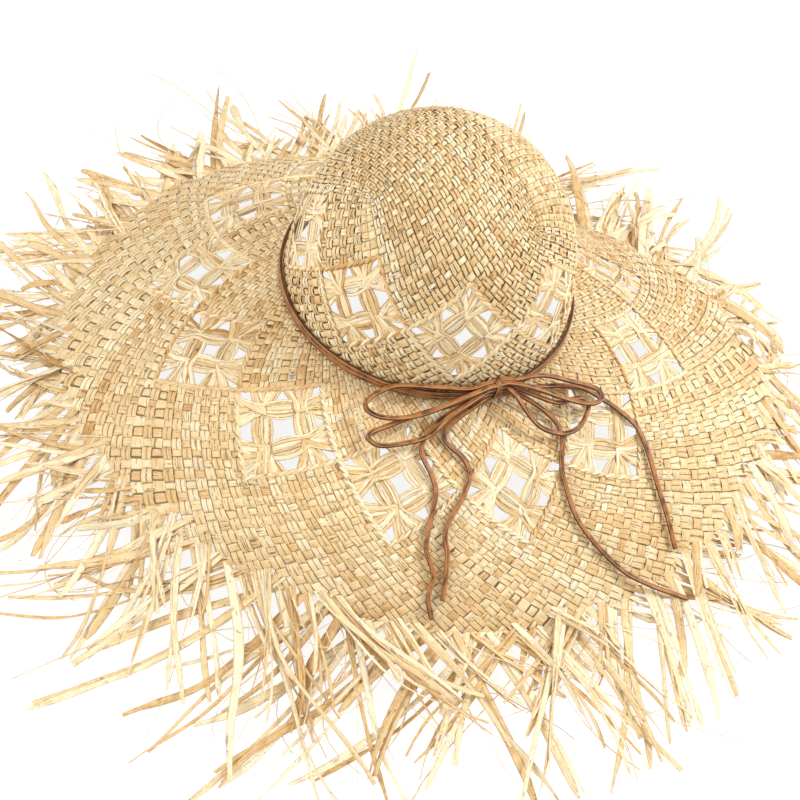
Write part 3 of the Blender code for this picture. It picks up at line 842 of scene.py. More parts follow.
class StrawHatSettings(bpy.types.PropertyGroup):
    """Sizes and colours of the hat's finish."""

    relief: length_setting("Relief", 0.72, "How far a strand rises over the one that it crosses")
    strand_fill: bpy.props.FloatProperty(
        name="Strand fill", description="How much of its pitch a strand covers", default=1.0,
        min=0.5, max=1.3, subtype="FACTOR",
    )
    dome_strands: bpy.props.IntProperty(
        name="Dome strands", description="Strands along a diamond's side on the dome", default=8
    )
    crown_strands: bpy.props.IntProperty(
        name="Crown strands", description="Strands along a diamond's side below it", default=9
    )
    inner_strands: bpy.props.IntProperty(
        name="Inner brim strands", description="Strands along a diamond's side, crown side",
        default=9,
    )
    outer_strands: bpy.props.IntProperty(
        name="Outer brim strands", description="Strands along a diamond's side, edge side",
        default=10,
    )
    fringe_length: length_setting("Fringe length", 78, "Typical length of a loose strand end")
    raffia_pale: hex_colour("Pale raffia", "#F5E4C0", "The palest strands")
    raffia: hex_colour("Raffia", "#E6CA98", "Most strands")
    raffia_warm: hex_colour("Warm raffia", "#DAB47B", "Warmer strands")
    raffia_golden: hex_colour("Golden raffia", "#BD8B4B", "The darkest strands")
    # The colour of the painted shade on the raffia's edges, seams and dips.
    raffia_shadow: hex_colour("Raffia painted shade", "#5E3A18", "Painted shade on edges, seams and dips")
    leather: hex_colour("Leather", "#AE713C", "The lace")
    # Also the colour of the painted shade on the lace's sides.
    leather_dark: hex_colour("Dark leather", "#43210C", "The lace's darker stretches, and the painted shade on its sides")
    # The colour of the painted highlight on the lace's corners.
    leather_highlight: hex_colour("Leather highlight", "#CF9A62", "The lace's worn corners")
    cotton: hex_colour("Cotton", "#E6D8BC", "The sweatband")


def settings_of(context):
    return context.scene.straw_hat


def dress(pieces, body, nodes):
    """Sets what each piece rides on, and hides the CAD nodes that it stands for."""
    for piece in pieces:
        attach(piece, body)
        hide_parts(*nodes)


# ---------------------------------------------------------------- operators


class PlaitBrim(bpy.types.Operator):
    """Plaits the brim on the bias, from the crown's foot to the fringe"""

    bl_idname = "straw_hat.plait_brim"
    bl_label = "Plait the brim"

    def execute(self, context):
        settings = settings_of(context)
        material = raffia_material(
            "natural_raffia_plait", settings, edge_shade=0.85, dip_shade=0.85, seam_shade=0.8
        )
        rng = np.random.default_rng(11)
        inner, outer = settings.inner_strands, settings.outer_strands
        below = -round(BRIM_ROWS_BELOW * inner)
        rings = (
            ("inner", ring_lattice(BRIM_PANELS, inner, below, inner + 1), inner, 0.22, 12, 3),
            ("outer", outer_brim_lattice(outer)[0], outer, 0.30, 13, 6),
        )
        pieces = []
        for part, lattice, strands, uneven, seed, sectors in rings:
            (points, normals), keys = brim_corners(lattice, strands)
            held = [on_diamond_border(*key, strands) for key in keys]
            points = jitter(points, normals, rng, uneven * MM, held)
            pieces += make_plait(
                "brim_plait_" + part, lattice, points, normals, material, settings, seed,
                sectors, BRIM_RIBS,
            )
        dress(pieces, "hat", ["brim"])
        return {"FINISHED"}


def outer_brim_lattice(strands):
    """The plait from the diamonds outwards, and its last row. Its last rows stop unevenly, as
    in hand work."""
    edge_row = strands * 2 + round(OUTER_REACH * strands)
    lattice = ring_lattice(BRIM_PANELS, strands, strands - 1, edge_row)
    keys = list(lattice.number)
    chances = np.random.default_rng(14).random(len(lattice.cells))
    lattice.cells = [
        cell for cell, chance in zip(lattice.cells, chances)
        if chance >= MISSING_CELLS[max(keys[cell[2]][1] - edge_row + 2, 0)]
    ]
    return lattice, edge_row


def dome_lattice(strands):
    """The plait over the diamonds: a bias ring that folds over at four corners into a flat
    oblong at the top. Three cells meet at each corner."""
    lattice = ring_lattice(CROWN_PANELS, strands, strands - 1, DOME_ROWS * strands)
    around = 2 * CROWN_PANELS * strands
    edge_row = DOME_ROWS * strands
    start = FIRST_CORNER * strands
    long, short = LONG_SIDE * strands, SHORT_SIDE * strands

    def ring(place, row=edge_row):
        return ((start + place) % around, row)

    def perimeter(x, y):
        if y <= 0:
            return x
        if x >= long:
            return long + y
        if y >= short:
            return long + short + (long - x)
        return 2 * long + short + (short - y)

    def key(x, y):
        if 0 < x < long and 0 < y < short:
            return ("top", x, y)
        inside = 0 <= x <= long and 0 <= y <= short
        held_x, held_y = min(max(x, 0), long), min(max(y, 0), short)
        return ring(perimeter(held_x, held_y), edge_row if inside else edge_row - 1)

    for x in range(long + 1):
        for y in range(short + 1):
            if (x + y) % 2:
                lattice.cell(key(x, y - 1), key(x + 1, y), key(x, y + 1), key(x - 1, y))
    points = np.zeros((len(lattice.number), 3))
    fixed = np.zeros(len(lattice.number), bool)
    for name, number in lattice.number.items():
        if name[0] == "top":
            x, y = 2 * name[1] / long - 1, 2 * name[2] / short - 1
            reach = max(abs(x), abs(y), 1e-6)
            side_x, side_y = (x / reach + 1) / 2 * long, (y / reach + 1) / 2 * short
            side_x = side_x if abs(x) < reach else round(side_x)
            side_y = side_y if abs(y) < reach else round(side_y)
            column = start + perimeter(side_x, side_y)
            top = float(crown_distance(DOME_ROWS - 1))
            up = DOME_LENGTH - (DOME_LENGTH - top) * reach
        else:
            column = name[0]
            up = float(crown_distance(name[1] / strands - 1))
            fixed[number] = name[1] <= 2 * strands + 1
        azimuth = CROWN_PANEL_AZIMUTH + math.pi / CROWN_PANELS * column / strands
        points[number] = crown_surface(azimuth, up)[0]
    return lattice, relax(points, lattice.cells, fixed)


def relax(points, cells, fixed, rounds=120):
    """Evens out the grid: each free corner moves towards the middle of its neighbours and is
    put back on the dome."""
    cells = np.array(cells)
    pairs = np.concatenate([cells[:, [side, (side + 1) % 4]] for side in range(4)])
    pairs = np.concatenate([pairs, pairs[:, ::-1]])
    count = np.bincount(pairs[:, 0], minlength=len(points))[:, None]
    for _ in range(rounds):
        total = np.zeros_like(points)
        np.add.at(total, pairs[:, 0], points[pairs[:, 1]])
        moved = onto_dome(0.4 * points + 0.6 * total / count)
        points = np.where(fixed[:, None], points, moved)
    return points


class PlaitCrown(bpy.types.Operator):
    """Plaits the crown: a bias ring at the foot, and the dome over the diamonds"""

    bl_idname = "straw_hat.plait_crown"
    bl_label = "Plait the crown"

    def execute(self, context):
        settings = settings_of(context)
        # The crown's copy of the raffia finish has deeper painted shade in its edges, seams and
        # dips.
        material = raffia_material(
            "natural_raffia_crown_plait_deeper_shade", settings, edge_shade=1.0, dip_shade=1.0, seam_shade=0.95,
            edge_start=0.60, brown=CROWN_SHADE_DEPTH,
        )
        rng = np.random.default_rng(21)
        strands = settings.crown_strands
        below = -round(CROWN_ROWS_BELOW * strands)
        lattice = ring_lattice(CROWN_PANELS, strands, below, strands + 1)
        keys = np.array(list(lattice.number))
        azimuth = CROWN_PANEL_AZIMUTH + math.pi / CROWN_PANELS * keys[:, 0] / strands
        up = np.maximum(crown_distance(keys[:, 1] / strands - 1), -FOOT_OVERLAP)
        points, normals = crown_surface(azimuth, up)
        held = [on_diamond_border(*key, strands) for key in keys]
        points = jitter(points, normals, rng, 0.18 * MM, held)
        pieces = make_plait(
            "crown_plait_foot", lattice, points, normals, material, settings, 22, 1, CROWN_RIBS
        )
        lattice, points = dome_lattice(settings.dome_strands)
        normals = dome_normals(points)
        points = onto_dome(jitter(points, normals, rng, 0.20 * MM))
        pieces += make_plait(
            "crown_plait_dome", lattice, points, normals, material, settings, 23, 1, CROWN_RIBS
        )
        dress(pieces, "hat", ["crown"])
        return {"FINISHED"}


def on_panel(surface, first_azimuth, panels, centre, half, panel, first, second):
    """A point in a diamond, from -1 to 1 along each of its two sides."""
    across, along = (first - second) / 2, (first + second) / 2
    azimuth = first_azimuth + 2 * math.pi * panel / panels + across * math.pi / panels
    return surface(azimuth, centre + along * half)


def gather_panel(heap, place, side, rng):
    """Adds a diamond's strands: they fan in from the border to two bars each way, and bars
    cross in four stars, over one and under the next."""
    steps = 17
    run = np.linspace(-1.03, 1.03, steps)
    far = np.abs(run)
    fan = np.clip((far - FAN_START) / (1.0 - FAN_START), 0, 1.1)
    middle = np.clip(1 - far / BAR_PLACE, 0, 1)
    spread = NODE_SPREAD + (BORDER_SPREAD - NODE_SPREAD) * fan**0.95
    spread = spread + (MIDDLE_SPREAD - NODE_SPREAD) * np.sin(math.pi / 2 * middle)
    for way in (0, 1):
        for bar in (-1, 1):
            share = (np.arange(PANEL_STRANDS) / (PANEL_STRANDS - 1) - 0.5)[:, None]
            share = share + rng.normal(0, 0.035, (PANEL_STRANDS, 1))
            wander = rng.normal(0, 0.012, (PANEL_STRANDS, 1)) * np.sin(
                run * 2.6 + rng.uniform(0, 6, (PANEL_STRANDS, 1))
            )
            bias, lean = rng.normal(0, 0.035), rng.normal(0, 0.045)
            offset = bar * BAR_PLACE + bias * (1 - fan) + lean * run + share * spread + wander
            along = run[None] * np.ones((PANEL_STRANDS, 1))
            first, second = (along, offset) if way else (offset, along)
            points, normals = place(first, second)
            # At its own star on each side, this bar goes over or under the other.
            level = np.zeros_like(run)
            for star in (-1, 1):
                over = 1.0 if (star * bar > 0) == bool(way) else -1.0
                level = level + over * np.exp(-(((run - star * BAR_PLACE) / STAR_REACH) ** 2))
            layer = rng.permutation(PANEL_STRANDS)[:, None] / PANEL_STRANDS - 0.5
            rise = 0.62 * MM * level[None] + layer * 0.9 * MM * (1 - fan * 0.7)
            points = points + normals * rise[..., None]
            width = side * (0.088 + 0.010 * fan[None]) * rng.uniform(0.6, 1.35, (PANEL_STRANDS, 1))
            length = np.broadcast_to(run[None] * side / MM, along.shape)
            ribbons(
                heap, points, normals, width,
                length + rng.uniform(0, 900, (PANEL_STRANDS, 1)),
                rng.beta(2, 2.6, PANEL_STRANDS), 0.6,
                arch=rng.uniform(0.06, 0.2, PANEL_STRANDS),
                twist=rng.normal(0, 0.16, (PANEL_STRANDS, 1)) * np.ones(steps),
            )


def turn_corners(heap, place, side, rng):
    """Adds the strands that turn at each star, from one border to the next."""
    steps = 15
    run = np.linspace(-1, 1, steps)[None]
    for star_first in (-1, 1):
        for star_second in (-1, 1):
            reach = np.abs(run) * (1.03 - BAR_PLACE)
            lean = rng.uniform(-TURNED_SPREAD, TURNED_SPREAD, (TURNED_STRANDS, 2))
            before, after = (run < 0) * 1.0, (run > 0) * 1.0
            ease = -rng.uniform(-0.02, 0.10, (TURNED_STRANDS, 1)) * np.exp(-((run / 0.3) ** 2))
            first = BAR_PLACE + reach * before + lean[:, :1] * reach * after + ease
            second = BAR_PLACE + reach * after + lean[:, 1:] * reach * before + ease
            points, normals = place(first * star_first, second * star_second)
            layer = np.linspace(-0.2, 1.0, TURNED_STRANDS)[:, None] * MM
            points = points + normals * (layer * np.exp(-((run / 0.5) ** 2)))[..., None]
            width = side * 0.112 * rng.uniform(0.7, 1.5, (TURNED_STRANDS, 1))
            length = reach * np.sign(run) * side / MM + rng.uniform(0, 900, (TURNED_STRANDS, 1))
            ribbons(
                heap, points, normals, width, length, rng.beta(2, 3.2, TURNED_STRANDS), 0.6,
                arch=rng.uniform(0.05, 0.14, TURNED_STRANDS),
            )


def twine_border(heap, place, side, rng):
    """Adds two strands twined round each other along each side of a diamond."""
    turns = round(2 * side / TWINE_PITCH)
    steps = turns * 7 + 1
    run = np.linspace(-1.02, 1.02, steps)
    for way in (0, 1):
        for border in (-1.0, 1.0):
            line = np.full(steps, border)
            first, second = (run, line) if way else (line, run)
            points, normals = place(first, second)
            forward = unit(np.gradient(points, axis=0))
            sideways = np.cross(forward, normals)
            for strand in (0, 1):
                turn = 2 * math.pi * turns * (run + 1) / 2 + math.pi * strand
                swing = sideways * np.cos(turn)[:, None] * 1.15
                swing = swing + normals * np.sin(turn)[:, None] * 0.75
                line_points = points + normals * 0.25 * MM + swing * TWINE_SWING
                tube(
                    heap, line_points, normals, 1.15 * MM, 0.8 * MM,
                    (run + 1) * side / MM + rng.uniform(0, 900), rng.beta(2, 2.4), sides=6,
                )


class GatherPanels(bpy.types.Operator):
    """Gathers the strands in the openwork diamonds and twines their borders"""

    bl_idname = "straw_hat.gather_panels"
    bl_label = "Gather the openwork"

    def execute(self, context):
        settings = settings_of(context)
        material = raffia_material(
            "gathered_raffia_strands", settings, edge_shade=0.72, dip_shade=0.0, seam_shade=0.85,
            edge_start=0.55,
        )
        rng = np.random.default_rng(31)
        rings = (
            ("crown_panel", crown_surface, CROWN_PANEL_AZIMUTH, CROWN_PANELS,
             CROWN_PANEL_CENTRE, CROWN_PANEL_HALF),
            ("brim_panel", brim_surface, BRIM_PANEL_AZIMUTH, BRIM_PANELS,
             BRIM_PANEL_CENTRE, BRIM_PANEL_HALF),
        )
        for prefix, surface, azimuth, panels, centre, half in rings:
            for panel in range(panels):

                def place(first, second, panel=panel):
                    return on_panel(surface, azimuth, panels, centre, half, panel, first, second)

                side = half / math.sqrt(2)
                heap = Heap()
                gather_panel(heap, place, side, rng)
                turn_corners(heap, place, side, rng)
                twine_border(heap, place, side, rng)
                node = f"{prefix}_{panel + 1:02d}"
                dress([heap.build(f"openwork_{node}", material)], "hat", [node])
        return {"FINISHED"}


def strand_ends(strands):
    """Where the plait's strands leave the brim's edge: their middles and directions."""
    lattice, edge_row = outer_brim_lattice(strands)
    (points, _), keys = brim_corners(lattice, strands)
    cells = np.array(lattice.cells)
    inner_edges = {frozenset((a, b)) for a, b, _, _ in cells.tolist()}
    inner_edges |= {frozenset((a, d)) for a, _, _, d in cells.tolist()}
    start, heading, wide = [], [], []
    for near, right, far, left in cells[keys[cells[:, 2], 1] > edge_row - 5].tolist():
        for side, other in ((right, left), (left, right)):
            if frozenset((far, side)) in inner_edges:
                continue
            middle = (points[far] + points[side]) / 2
            start.append(middle)
            heading.append(middle - (points[near] + points[other]) / 2)
            wide.append(points[far] - points[side])
    heading = np.array(heading)
    # The ends come out from under the last strand that they pass.
    start = np.array(start) - 0.5 * heading - [0, 0, 0.8 * MM]
    return start, heading, np.array(wide)


def fringe_paths(start, heading, length, bend, wobble, lift, rng, steps=13):
    """Strand ends that leave the edge, bend and sink to rest on the floor."""
    count = len(start)
    fine = 52
    share = np.linspace(0, 1, fine)[None]
    turn = np.arctan2(heading[:, 1], heading[:, 0])[:, None] + bend[:, None] * share
    turn = turn + wobble[:, None] * np.sin(
        rng.uniform(2.5, 7, (count, 1)) * share + rng.uniform(0, 6.3, (count, 1))
    ) * share
    slope = SETTING_OFF * (1 - share) ** 1.5
    step = length[:, None] / (fine - 1) * np.cos(slope)
    x, y = (
        start[:, axis, None] + np.cumsum(step * toward, 1) - step * toward
        for axis, toward in ((0, np.cos(turn)), (1, np.sin(turn)))
    )
    edge = np.hypot(start[:, 0], start[:, 1])[:, None]
    out = np.clip((np.hypot(x, y) - edge) / (FRINGE_RADIUS - edge), 0, 1)
    z = start[:, 2:3] * (1 - out) ** FRINGE_SAG
    z = np.maximum(z, FLOOR_CLEARANCE) + lift[:, None] * np.sin(math.pi * share * 0.8) * share
    path = np.stack([x, y, z], -1)
    outside = (np.abs(path[..., :2]) > FRINGE_LIMIT).any(-1)
    last = np.where(outside.any(1), outside.argmax(1), fine) - 1
    picks = np.linspace(0, 1, steps)[None] * last[:, None]
    low = np.floor(picks).astype(int)
    high = np.minimum(low + 1, fine - 1)
    rows = np.arange(count)[:, None]
    part = (picks - low)[..., None]
    path = path[rows, low] * (1 - part) + path[rows, high] * part
    return path, length * last / (fine - 1)


class FrayFringe(bpy.types.Operator):
    """Lets the loose strand ends and fibres fall from the brim's edge"""

    bl_idname = "straw_hat.fray_fringe"
    bl_label = "Fray the fringe"

    def execute(self, context):
        settings = settings_of(context)
        material = raffia_material(
            "loose_raffia_ends", settings, edge_shade=0.42, dip_shade=0.0, seam_shade=0.6,
            fibre=0.4, edge_start=0.7,
        )
        rng = np.random.default_rng(41)
        start, heading, wide = strand_ends(settings.outer_strands)
        heaps = [Heap() for _ in range(FRINGE_SECTORS)]
        # Each end is a strand of leaves that part towards the tip.
        parts = rng.choice(list(LEAVES), len(start), p=list(LEAVES.values()))
        pick = np.repeat(np.arange(len(start)), parts)
        place = np.concatenate([(np.arange(n) + 0.5) / n - 0.5 for n in parts])[:, None]
        width = np.linalg.norm(wide[pick], axis=1) / parts[pick]
        width = np.minimum(width * rng.uniform(0.8, 1.5, len(pick)), WIDEST_LEAF)
        self.add(
            heaps, settings, rng, start[pick] + wide[pick] * place * 0.9, heading[pick], width,
            pick, longer=1.0, bending=0.30, wobbling=0.16,
        )
        # A few long fibres that curl.
        count = CURLED_FIBRES
        pick = rng.integers(0, len(start), count)
        self.add(
            heaps, settings, rng, start[pick] + wide[pick] * rng.uniform(-0.5, 0.5, (count, 1)),
            heading[pick], rng.uniform(0.35, 0.9, count) * MM, np.arange(count), longer=1.15,
            bending=0.9, wobbling=0.45,
        )
        for sector, heap in enumerate(heaps):
            node = f"fringe_{sector + 1:02d}"
            dress([heap.build(f"loose_{node}", material)], "hat", [node])
        return {"FINISHED"}

    def add(self, heaps, settings, rng, start, heading, width, group, longer, bending, wobbling):
        """Adds strand ends. Those of one group set off together and part slowly."""
        count = len(start)

        def shared(values, own_spread):
            return values[group] + rng.normal(0, own_spread, count)

        groups = group.max() + 1
        azimuth = np.arctan2(start[:, 0], -start[:, 1])
        usual = np.degrees(wave_sum(1.0, FRINGE_WAVES, azimuth))
        usual = settings.fringe_length * usual * longer
        length = usual * np.clip(rng.gamma(6.0, 0.17, groups), 0.4, 1.9)[group]
        length = length * rng.uniform(0.72, 1.12, count)
        # Combed outwards: the heading turns part of the way to straight out.
        straight = start * [1, 1, 0]
        comb = np.clip(shared(rng.uniform(0.1, 0.65, groups), 0.05), 0, 1)[:, None]
        mixed = unit(heading * [1, 1, 0]) * (1 - comb) + unit(straight) * comb
        mixed = mixed + rng.normal(0, 0.07, (groups, 3))[group] * [1, 1, 0]
        rise = np.abs(rng.normal(0, 0.007, groups)) * (rng.random(groups) < 0.7)
        under_tails = np.abs(azimuth - TAILS_REST) < TAILS_REACH
        lift = np.where(under_tails, 0, np.abs(shared(rise, 0.001)))
        path, length = fringe_paths(
            start, mixed, length, shared(rng.normal(0, bending, groups), 0.11),
            shared(rng.normal(0, wobbling, groups), 0.04), lift, rng,
        )
        steps = path.shape[1]
        share = np.linspace(0, 1, steps)[None]
        taper = np.clip(
            (1 - share) / rng.uniform(0.02, 0.2, (count, 1)), rng.uniform(0.3, 0.9, (count, 1)), 1
        )
        width = width[:, None] * taper * (1 + 0.2 * np.sin(share * rng.uniform(3, 11, (count, 1))))
        up = np.zeros_like(path) + [0, 0, 1.0]
        twist = np.cumsum(rng.normal(0, 0.17, (count, steps)), 1) * (share > 0.1)
        half = width / 2
        path[..., 2] = np.maximum(
            path[..., 2], half * np.abs(np.sin(twist)) + width * 0.13 + 0.0003
        )
        tone = rng.beta(1.8, 2.6, count)
        along = share * (length / MM)[:, None] + rng.uniform(0, 900, (count, 1))
        arch = rng.uniform(0.02, 0.16, count)
        sector = (azimuth % (2 * math.pi) / (2 * math.pi) * FRINGE_SECTORS).astype(int)
        for number, heap in enumerate(heaps):
            own = sector == number
            ribbons(
                heap, path[own], up[own], width[own], along[own], tone[own], 0.6,
                arch=arch[own], twist=twist[own],
            )


class SewSweatband(bpy.types.Operator):
    """Sews the cotton band inside the crown's foot"""

    bl_idname = "straw_hat.sew_sweatband"
    bl_label = "Sew the sweatband"

    def execute(self, context):
        settings = settings_of(context)
        material = cotton_material(settings)
        heap = Heap()
        low, high = FOOT_HEIGHT + BAND_BOTTOM, FOOT_HEIGHT + BAND_TOP
        middle, half = BAND_RADIUS - BAND_THICKNESS / 2, BAND_THICKNESS / 2
        # The section, with a rolled lower edge and a folded upper one.
        section = [
            (-0.3, low + 0.0009), (-0.9, low + 0.0003), (0.0, low), (0.9, low + 0.0003),
            (0.9, low + 0.0016), (0.45, low + 0.0024), (0.4, high - 0.0024), (0.9, high - 0.0016),
            (0.9, high - 0.0003), (0.0, high), (-0.9, high - 0.0003), (-0.9, high - 0.0016),
            (-0.4, high - 0.0024), (-0.45, low + 0.0024), (-0.9, low + 0.0016), (-0.3, low + 0.0009),
        ]
        turn = np.linspace(0, 2 * math.pi, 181)
        radius = np.array([middle + half * out for out, _ in section])
        height = np.array([z for _, z in section])
        ease = 1 + 0.0014 * np.sin(9 * turn) + 0.001 * np.sin(23 * turn)
        points = on_ring(
            turn[:, None] * np.ones(len(section)), radius[None] * ease[:, None] * 0.9985,
            height[None] * np.ones((181, 1)),
        )
        along = (turn * middle / MM)[None, :, None]
        heap.add_grids(points[None], along, np.linspace(0, 1, len(section))[None, None], 0.5, 0.5)
        band = heap.build("cotton_sweatband", material)
        stitches = Heap()
        count = 150
        for row in (low + 0.0030, high - 0.0030):
            for number in range(count):
                azimuth = 2 * math.pi * (number + np.linspace(0.15, 0.85, 5)) / count
                inward = middle - half * 0.62 - 0.25 * MM * np.sin(np.linspace(0, math.pi, 5))
                path = on_ring(azimuth, inward, np.full(5, row))
                up = on_ring(azimuth, np.full(5, -1.0), np.zeros(5))
                tube(stitches, path, up, 0.3 * MM, 0.2 * MM, np.linspace(0, 3, 5), 0.5, sides=6)
        thread = stitches.build("sweatband_stitches", material)
        dress([band, thread], "hat", ["sweatband"])
        return {"FINISHED"}


def knot_place(side, row, column, out=0.0):
    radius = WRAP_RADIUS + column * LACE_PITCH
    height = KNOT_BOTTOM + KNOT_HEIGHT / 2 + (row - 1.5) * LACE_PITCH
    middle = on_ring(KNOT_AZIMUTH, radius, height)
    along = np.array([math.cos(KNOT_AZIMUTH), math.sin(KNOT_AZIMUTH), 0.0])
    return middle + side * (KNOT_WIDTH / 2 + GAP + out) * along


def smooth_route(points, spacing):
    """Points at an even spacing along the Catmull-Rom curve through the given ones."""
    points = np.array(points)
    padded = np.concatenate([[2 * points[0] - points[1]], points, [2 * points[-1] - points[-2]]])
    t = np.linspace(0, 1, 24, endpoint=False)[:, None]
    fine = []
    for a, b, c, d in zip(padded, padded[1:], padded[2:], padded[3:]):
        curve = 2 * b + (c - a) * t + (2 * a - 5 * b + 4 * c - d) * t**2
        fine.append(0.5 * (curve + (3 * b - a - 3 * c + d) * t**3))
    fine = np.concatenate([*fine, points[-1:]])
    return even_points(fine, spacing)


def even_points(path, spacing):
    walked = np.concatenate([[0], np.cumsum(np.linalg.norm(np.diff(path, axis=0), axis=1))])
    places = np.linspace(0, walked[-1], max(round(walked[-1] / spacing), 2) + 1)
    return np.stack([np.interp(places, walked, path[:, axis]) for axis in range(3)], -1)


def lace_piece(name, path, up, material, rng):
    heap = Heap()
    walked = np.concatenate([[0], np.cumsum(np.linalg.norm(np.diff(path, axis=0), axis=1))])
    tube(
        heap, path, up, LACE_HALF_WIDE, LACE_HALF_THICK, walked / MM + rng.uniform(0, 500), 0.5,
        sides=16,
    )
    return heap.build(name, material)


class TieLace(bpy.types.Operator):
    """Winds the leather lace round the crown and ties the bow"""

    bl_idname = "straw_hat.tie_lace"
    bl_label = "Tie the lace"

    def execute(self, context):
        settings = settings_of(context)
        material = leather_material(settings)
        rng = np.random.default_rng(51)
        tucked = -(KNOT_WIDTH / 2 + GAP) + 0.0001  # the laces run through to the knot's middle
        for name, route in (LOOPS | TAILS).items():
            side = -1 if "left" in name else 1
            loop = name in LOOP_PLACES
            places = LOOP_PLACES[name] if loop else (TAIL_PLACES[name],)
            table = np.array(route, float)
            laid = brim_surface(np.radians(table[:, 0]), table[:, 1] * MM)[0]
            laid = laid + table[:, 2:] * [0, 0, MM]
            leads = [knot_place(side, *place, LACE_LEAD) for place in places]
            ends = [knot_place(side, *place, tucked) for place in places]
            middle = smooth_route([leads[0], *laid, *leads[1:]], LACE_SPACING)
            path = even_points(np.array([ends[0], *middle, *ends[1:]]), LACE_SPACING)
            up = np.zeros_like(path) + [0, 0, 1.0]
            piece = lace_piece("lace_" + name, path, up, material, rng)
            dress([piece], "lace", [name])
        for name, row in WRAP_ROWS.items():
            start = knot_place(1, row, 0)
            reach = (KNOT_WIDTH / 2 + GAP + LACE_LEAD) / WRAP_RADIUS
            azimuth = KNOT_AZIMUTH + np.linspace(reach, 2 * math.pi - reach, 260)
            sway = 0.12 * MM * np.sin(7 * azimuth + row * 2)
            ring = on_ring(azimuth, np.full(260, WRAP_RADIUS + GAP), start[2] + sway)
            path = np.concatenate(
                [[knot_place(1, row, 0, tucked)], [start], ring, [knot_place(-1, row, 0)],
                 [knot_place(-1, row, 0, tucked)]]
            )
            up = path * [1, 1, 0]
            piece = lace_piece("leather_" + name, path, unit(up), material, rng)
            dress([piece], "lace", [name])
        dress([self.knot(material, rng)], "lace", ["lace_knot"])
        return {"FINISHED"}

    def knot(self, material, rng):
        """Two turns of the lace drawn tight round all the strands."""
        heap = Heap()
        along = np.array([math.cos(KNOT_AZIMUTH), math.sin(KNOT_AZIMUTH), 0.0])
        out = on_ring(KNOT_AZIMUTH, 1.0, 0.0)
        radius = CROWN_RADIUS + PLAIT / 2 + 2 * GAP + KNOT_DEPTH / 2
        middle = on_ring(KNOT_AZIMUTH, radius, KNOT_BOTTOM + KNOT_HEIGHT / 2)
        turn = np.linspace(0, 2 * math.pi, 48, endpoint=False)
        power = 2 / 2.6
        depth = np.sign(np.cos(turn)) * np.abs(np.cos(turn)) ** power
        rise = np.sign(np.sin(turn)) * np.abs(np.sin(turn)) ** power
        half_depth = KNOT_DEPTH / 2 - LACE_HALF_THICK + 0.0004
        half_height = KNOT_HEIGHT / 2 - LACE_HALF_THICK
        for number, shift in enumerate((-0.0007, 0.0007)):
            skew = 0.0010 * (-1 if number else 1)
            path = (
                middle + along * shift + along * (skew * rise)[:, None]
                + out * (depth * half_depth)[:, None]
                + np.array([0, 0, 1.0]) * (rise * half_height)[:, None]
            )
            outward = unit(path - middle - along * ((path - middle) @ along)[:, None])
            tube(
                heap, path, outward, LACE_HALF_WIDE, LACE_HALF_THICK,
                turn * 6 + rng.uniform(0, 500), 0.5, closed=True, sides=16,
            )
        return heap.build("lace_bow_knot", material)


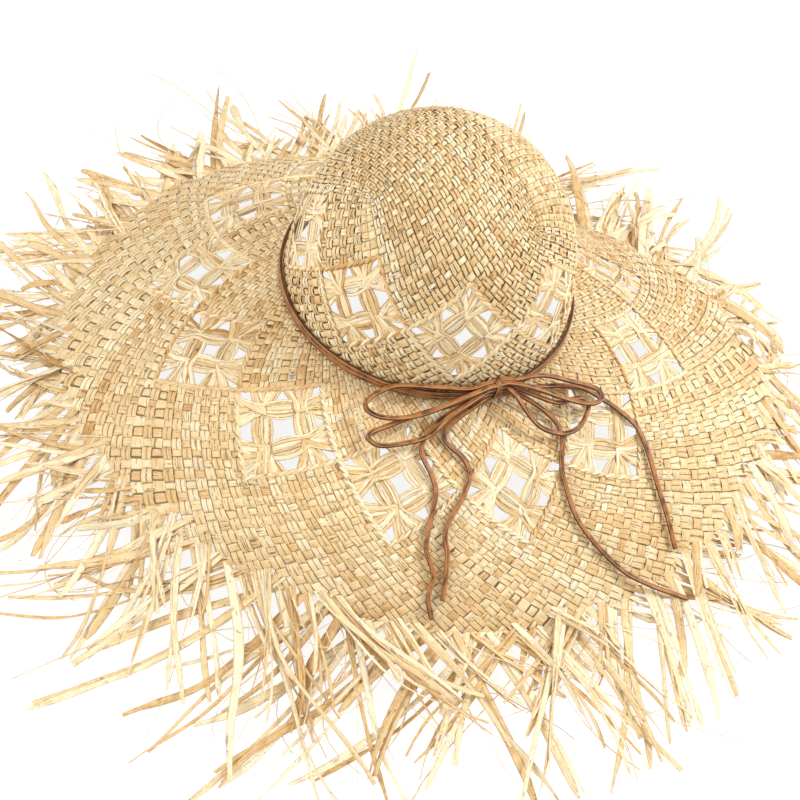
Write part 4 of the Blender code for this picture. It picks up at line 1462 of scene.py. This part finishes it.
class SetStage(bpy.types.Operator):
    """Sets the pale floor, the soft light and the camera"""

    bl_idname = "straw_hat.set_stage"
    bl_label = "Set the stage"

    def execute(self, context):
        scene = context.scene
        scene.view_settings.view_transform = "Standard"
        self.floor()
        world = bpy.data.worlds.new("studio")
        world.use_nodes = True
        background = world.node_tree.nodes["Background"]
        background.inputs["Color"].default_value = (1, 1, 1, 1)
        background.inputs["Strength"].default_value = DAYLIGHT
        scene.world = world
        right = np.array([math.cos(CAMERA_AZIMUTH), math.sin(CAMERA_AZIMUTH), 0])
        away = np.array([-math.sin(CAMERA_AZIMUTH), math.cos(CAMERA_AZIMUTH), 0])
        for name, (place, size, power) in LIGHTS.items():
            self.light(name, np.array(place) @ [right, away, [0, 0, 1.0]], size, power)
        self.camera(context)
        return {"FINISHED"}

    def floor(self):
        mesh = bpy.data.meshes.new("studio_floor")
        corners = ((-1, -1), (1, -1), (1, 1), (-1, 1))
        mesh.from_pydata([(x * FLOOR_REACH, y * FLOOR_REACH, 0) for x, y in corners], [], [range(4)])
        material, _, shader = new_material("white_studio_paper", roughness=0.9, specular=0.1)
        shader.inputs["Base Color"].default_value = (0.25, 0.25, 0.25, 1)
        shader.inputs["Emission Color"].default_value = (1, 1, 1, 1)
        shader.inputs["Emission Strength"].default_value = FLOOR_GLOW
        mesh.materials.append(material)
        floor = bpy.data.objects.new("studio_floor", mesh)
        bpy.context.scene.collection.objects.link(floor)

    def light(self, name, place, size, power):
        lamp = bpy.data.lights.new(name, "AREA")
        lamp.shape = "DISK"
        lamp.size = size
        lamp.energy = power
        thing = bpy.data.objects.new(name, lamp)
        bpy.context.scene.collection.objects.link(thing)
        back = unit(np.array(place, float) - [0, 0, FOOT_HEIGHT])
        side = unit(np.cross([0, 0, 1.0], back))
        set_frame(thing, side, np.cross(back, side), back, place)

    def camera(self, context):
        azimuth, elevation, roll = CAMERA_AZIMUTH, CAMERA_ELEVATION, CAMERA_ROLL
        back = np.array([
            math.cos(elevation) * math.sin(azimuth), -math.cos(elevation) * math.cos(azimuth),
            math.sin(elevation),
        ])
        level = np.array([math.cos(azimuth), math.sin(azimuth), 0])
        steep = np.cross(back, level)
        right = level * math.cos(roll) + steep * math.sin(roll)
        up = steep * math.cos(roll) - level * math.sin(roll)
        foot = np.array([0, 0, FOOT_HEIGHT])
        place = foot + back * CAMERA_DISTANCE
        back = unit(place - (foot + right * AIM_RIGHT + up * AIM_UP))
        right = unit(right - back * (right @ back))
        camera = bpy.data.objects.new("camera", bpy.data.cameras.new("camera"))
        camera.data.lens = CAMERA_LENS
        camera.data.sensor_width = 36
        camera.data.clip_start, camera.data.clip_end = 0.05, 20
        context.scene.collection.objects.link(camera)
        set_frame(camera, right, np.cross(back, right), back, place)
        context.scene.camera = camera


def set_frame(thing, right, up, back, place):
    thing.matrix_world = Matrix(np.array([[*right, 0], [*up, 0], [*back, 0], [*place, 1]]).T)


class StrawHatPanel(bpy.types.Panel):
    """Lists the hat's settings and the steps that make it"""

    bl_label = "Straw hat"
    bl_idname = "STRAW_HAT_PT_steps"
    bl_space_type = "VIEW_3D"
    bl_region_type = "UI"
    bl_category = "Straw hat"

    def draw(self, context):
        settings = settings_of(context)
        for name in StrawHatSettings.__annotations__:
            self.layout.prop(settings, name)
        for step in STEPS:
            self.layout.operator(step.bl_idname)


STEPS = (SetStage, TieLace, PlaitBrim, PlaitCrown, GatherPanels, FrayFringe, SewSweatband)
CLASSES = (StrawHatSettings, *STEPS, StrawHatPanel)


def register():
    for entry in CLASSES:
        bpy.utils.register_class(entry)
    bpy.types.Scene.straw_hat = bpy.props.PointerProperty(type=StrawHatSettings)


def unregister():
    del bpy.types.Scene.straw_hat
    for entry in reversed(CLASSES):
        bpy.utils.unregister_class(entry)


def main():
    register()
    for step in STEPS:
        group, action = step.bl_idname.split(".")
        getattr(getattr(bpy.ops, group), action)()


if __name__ == "__main__":
    main()
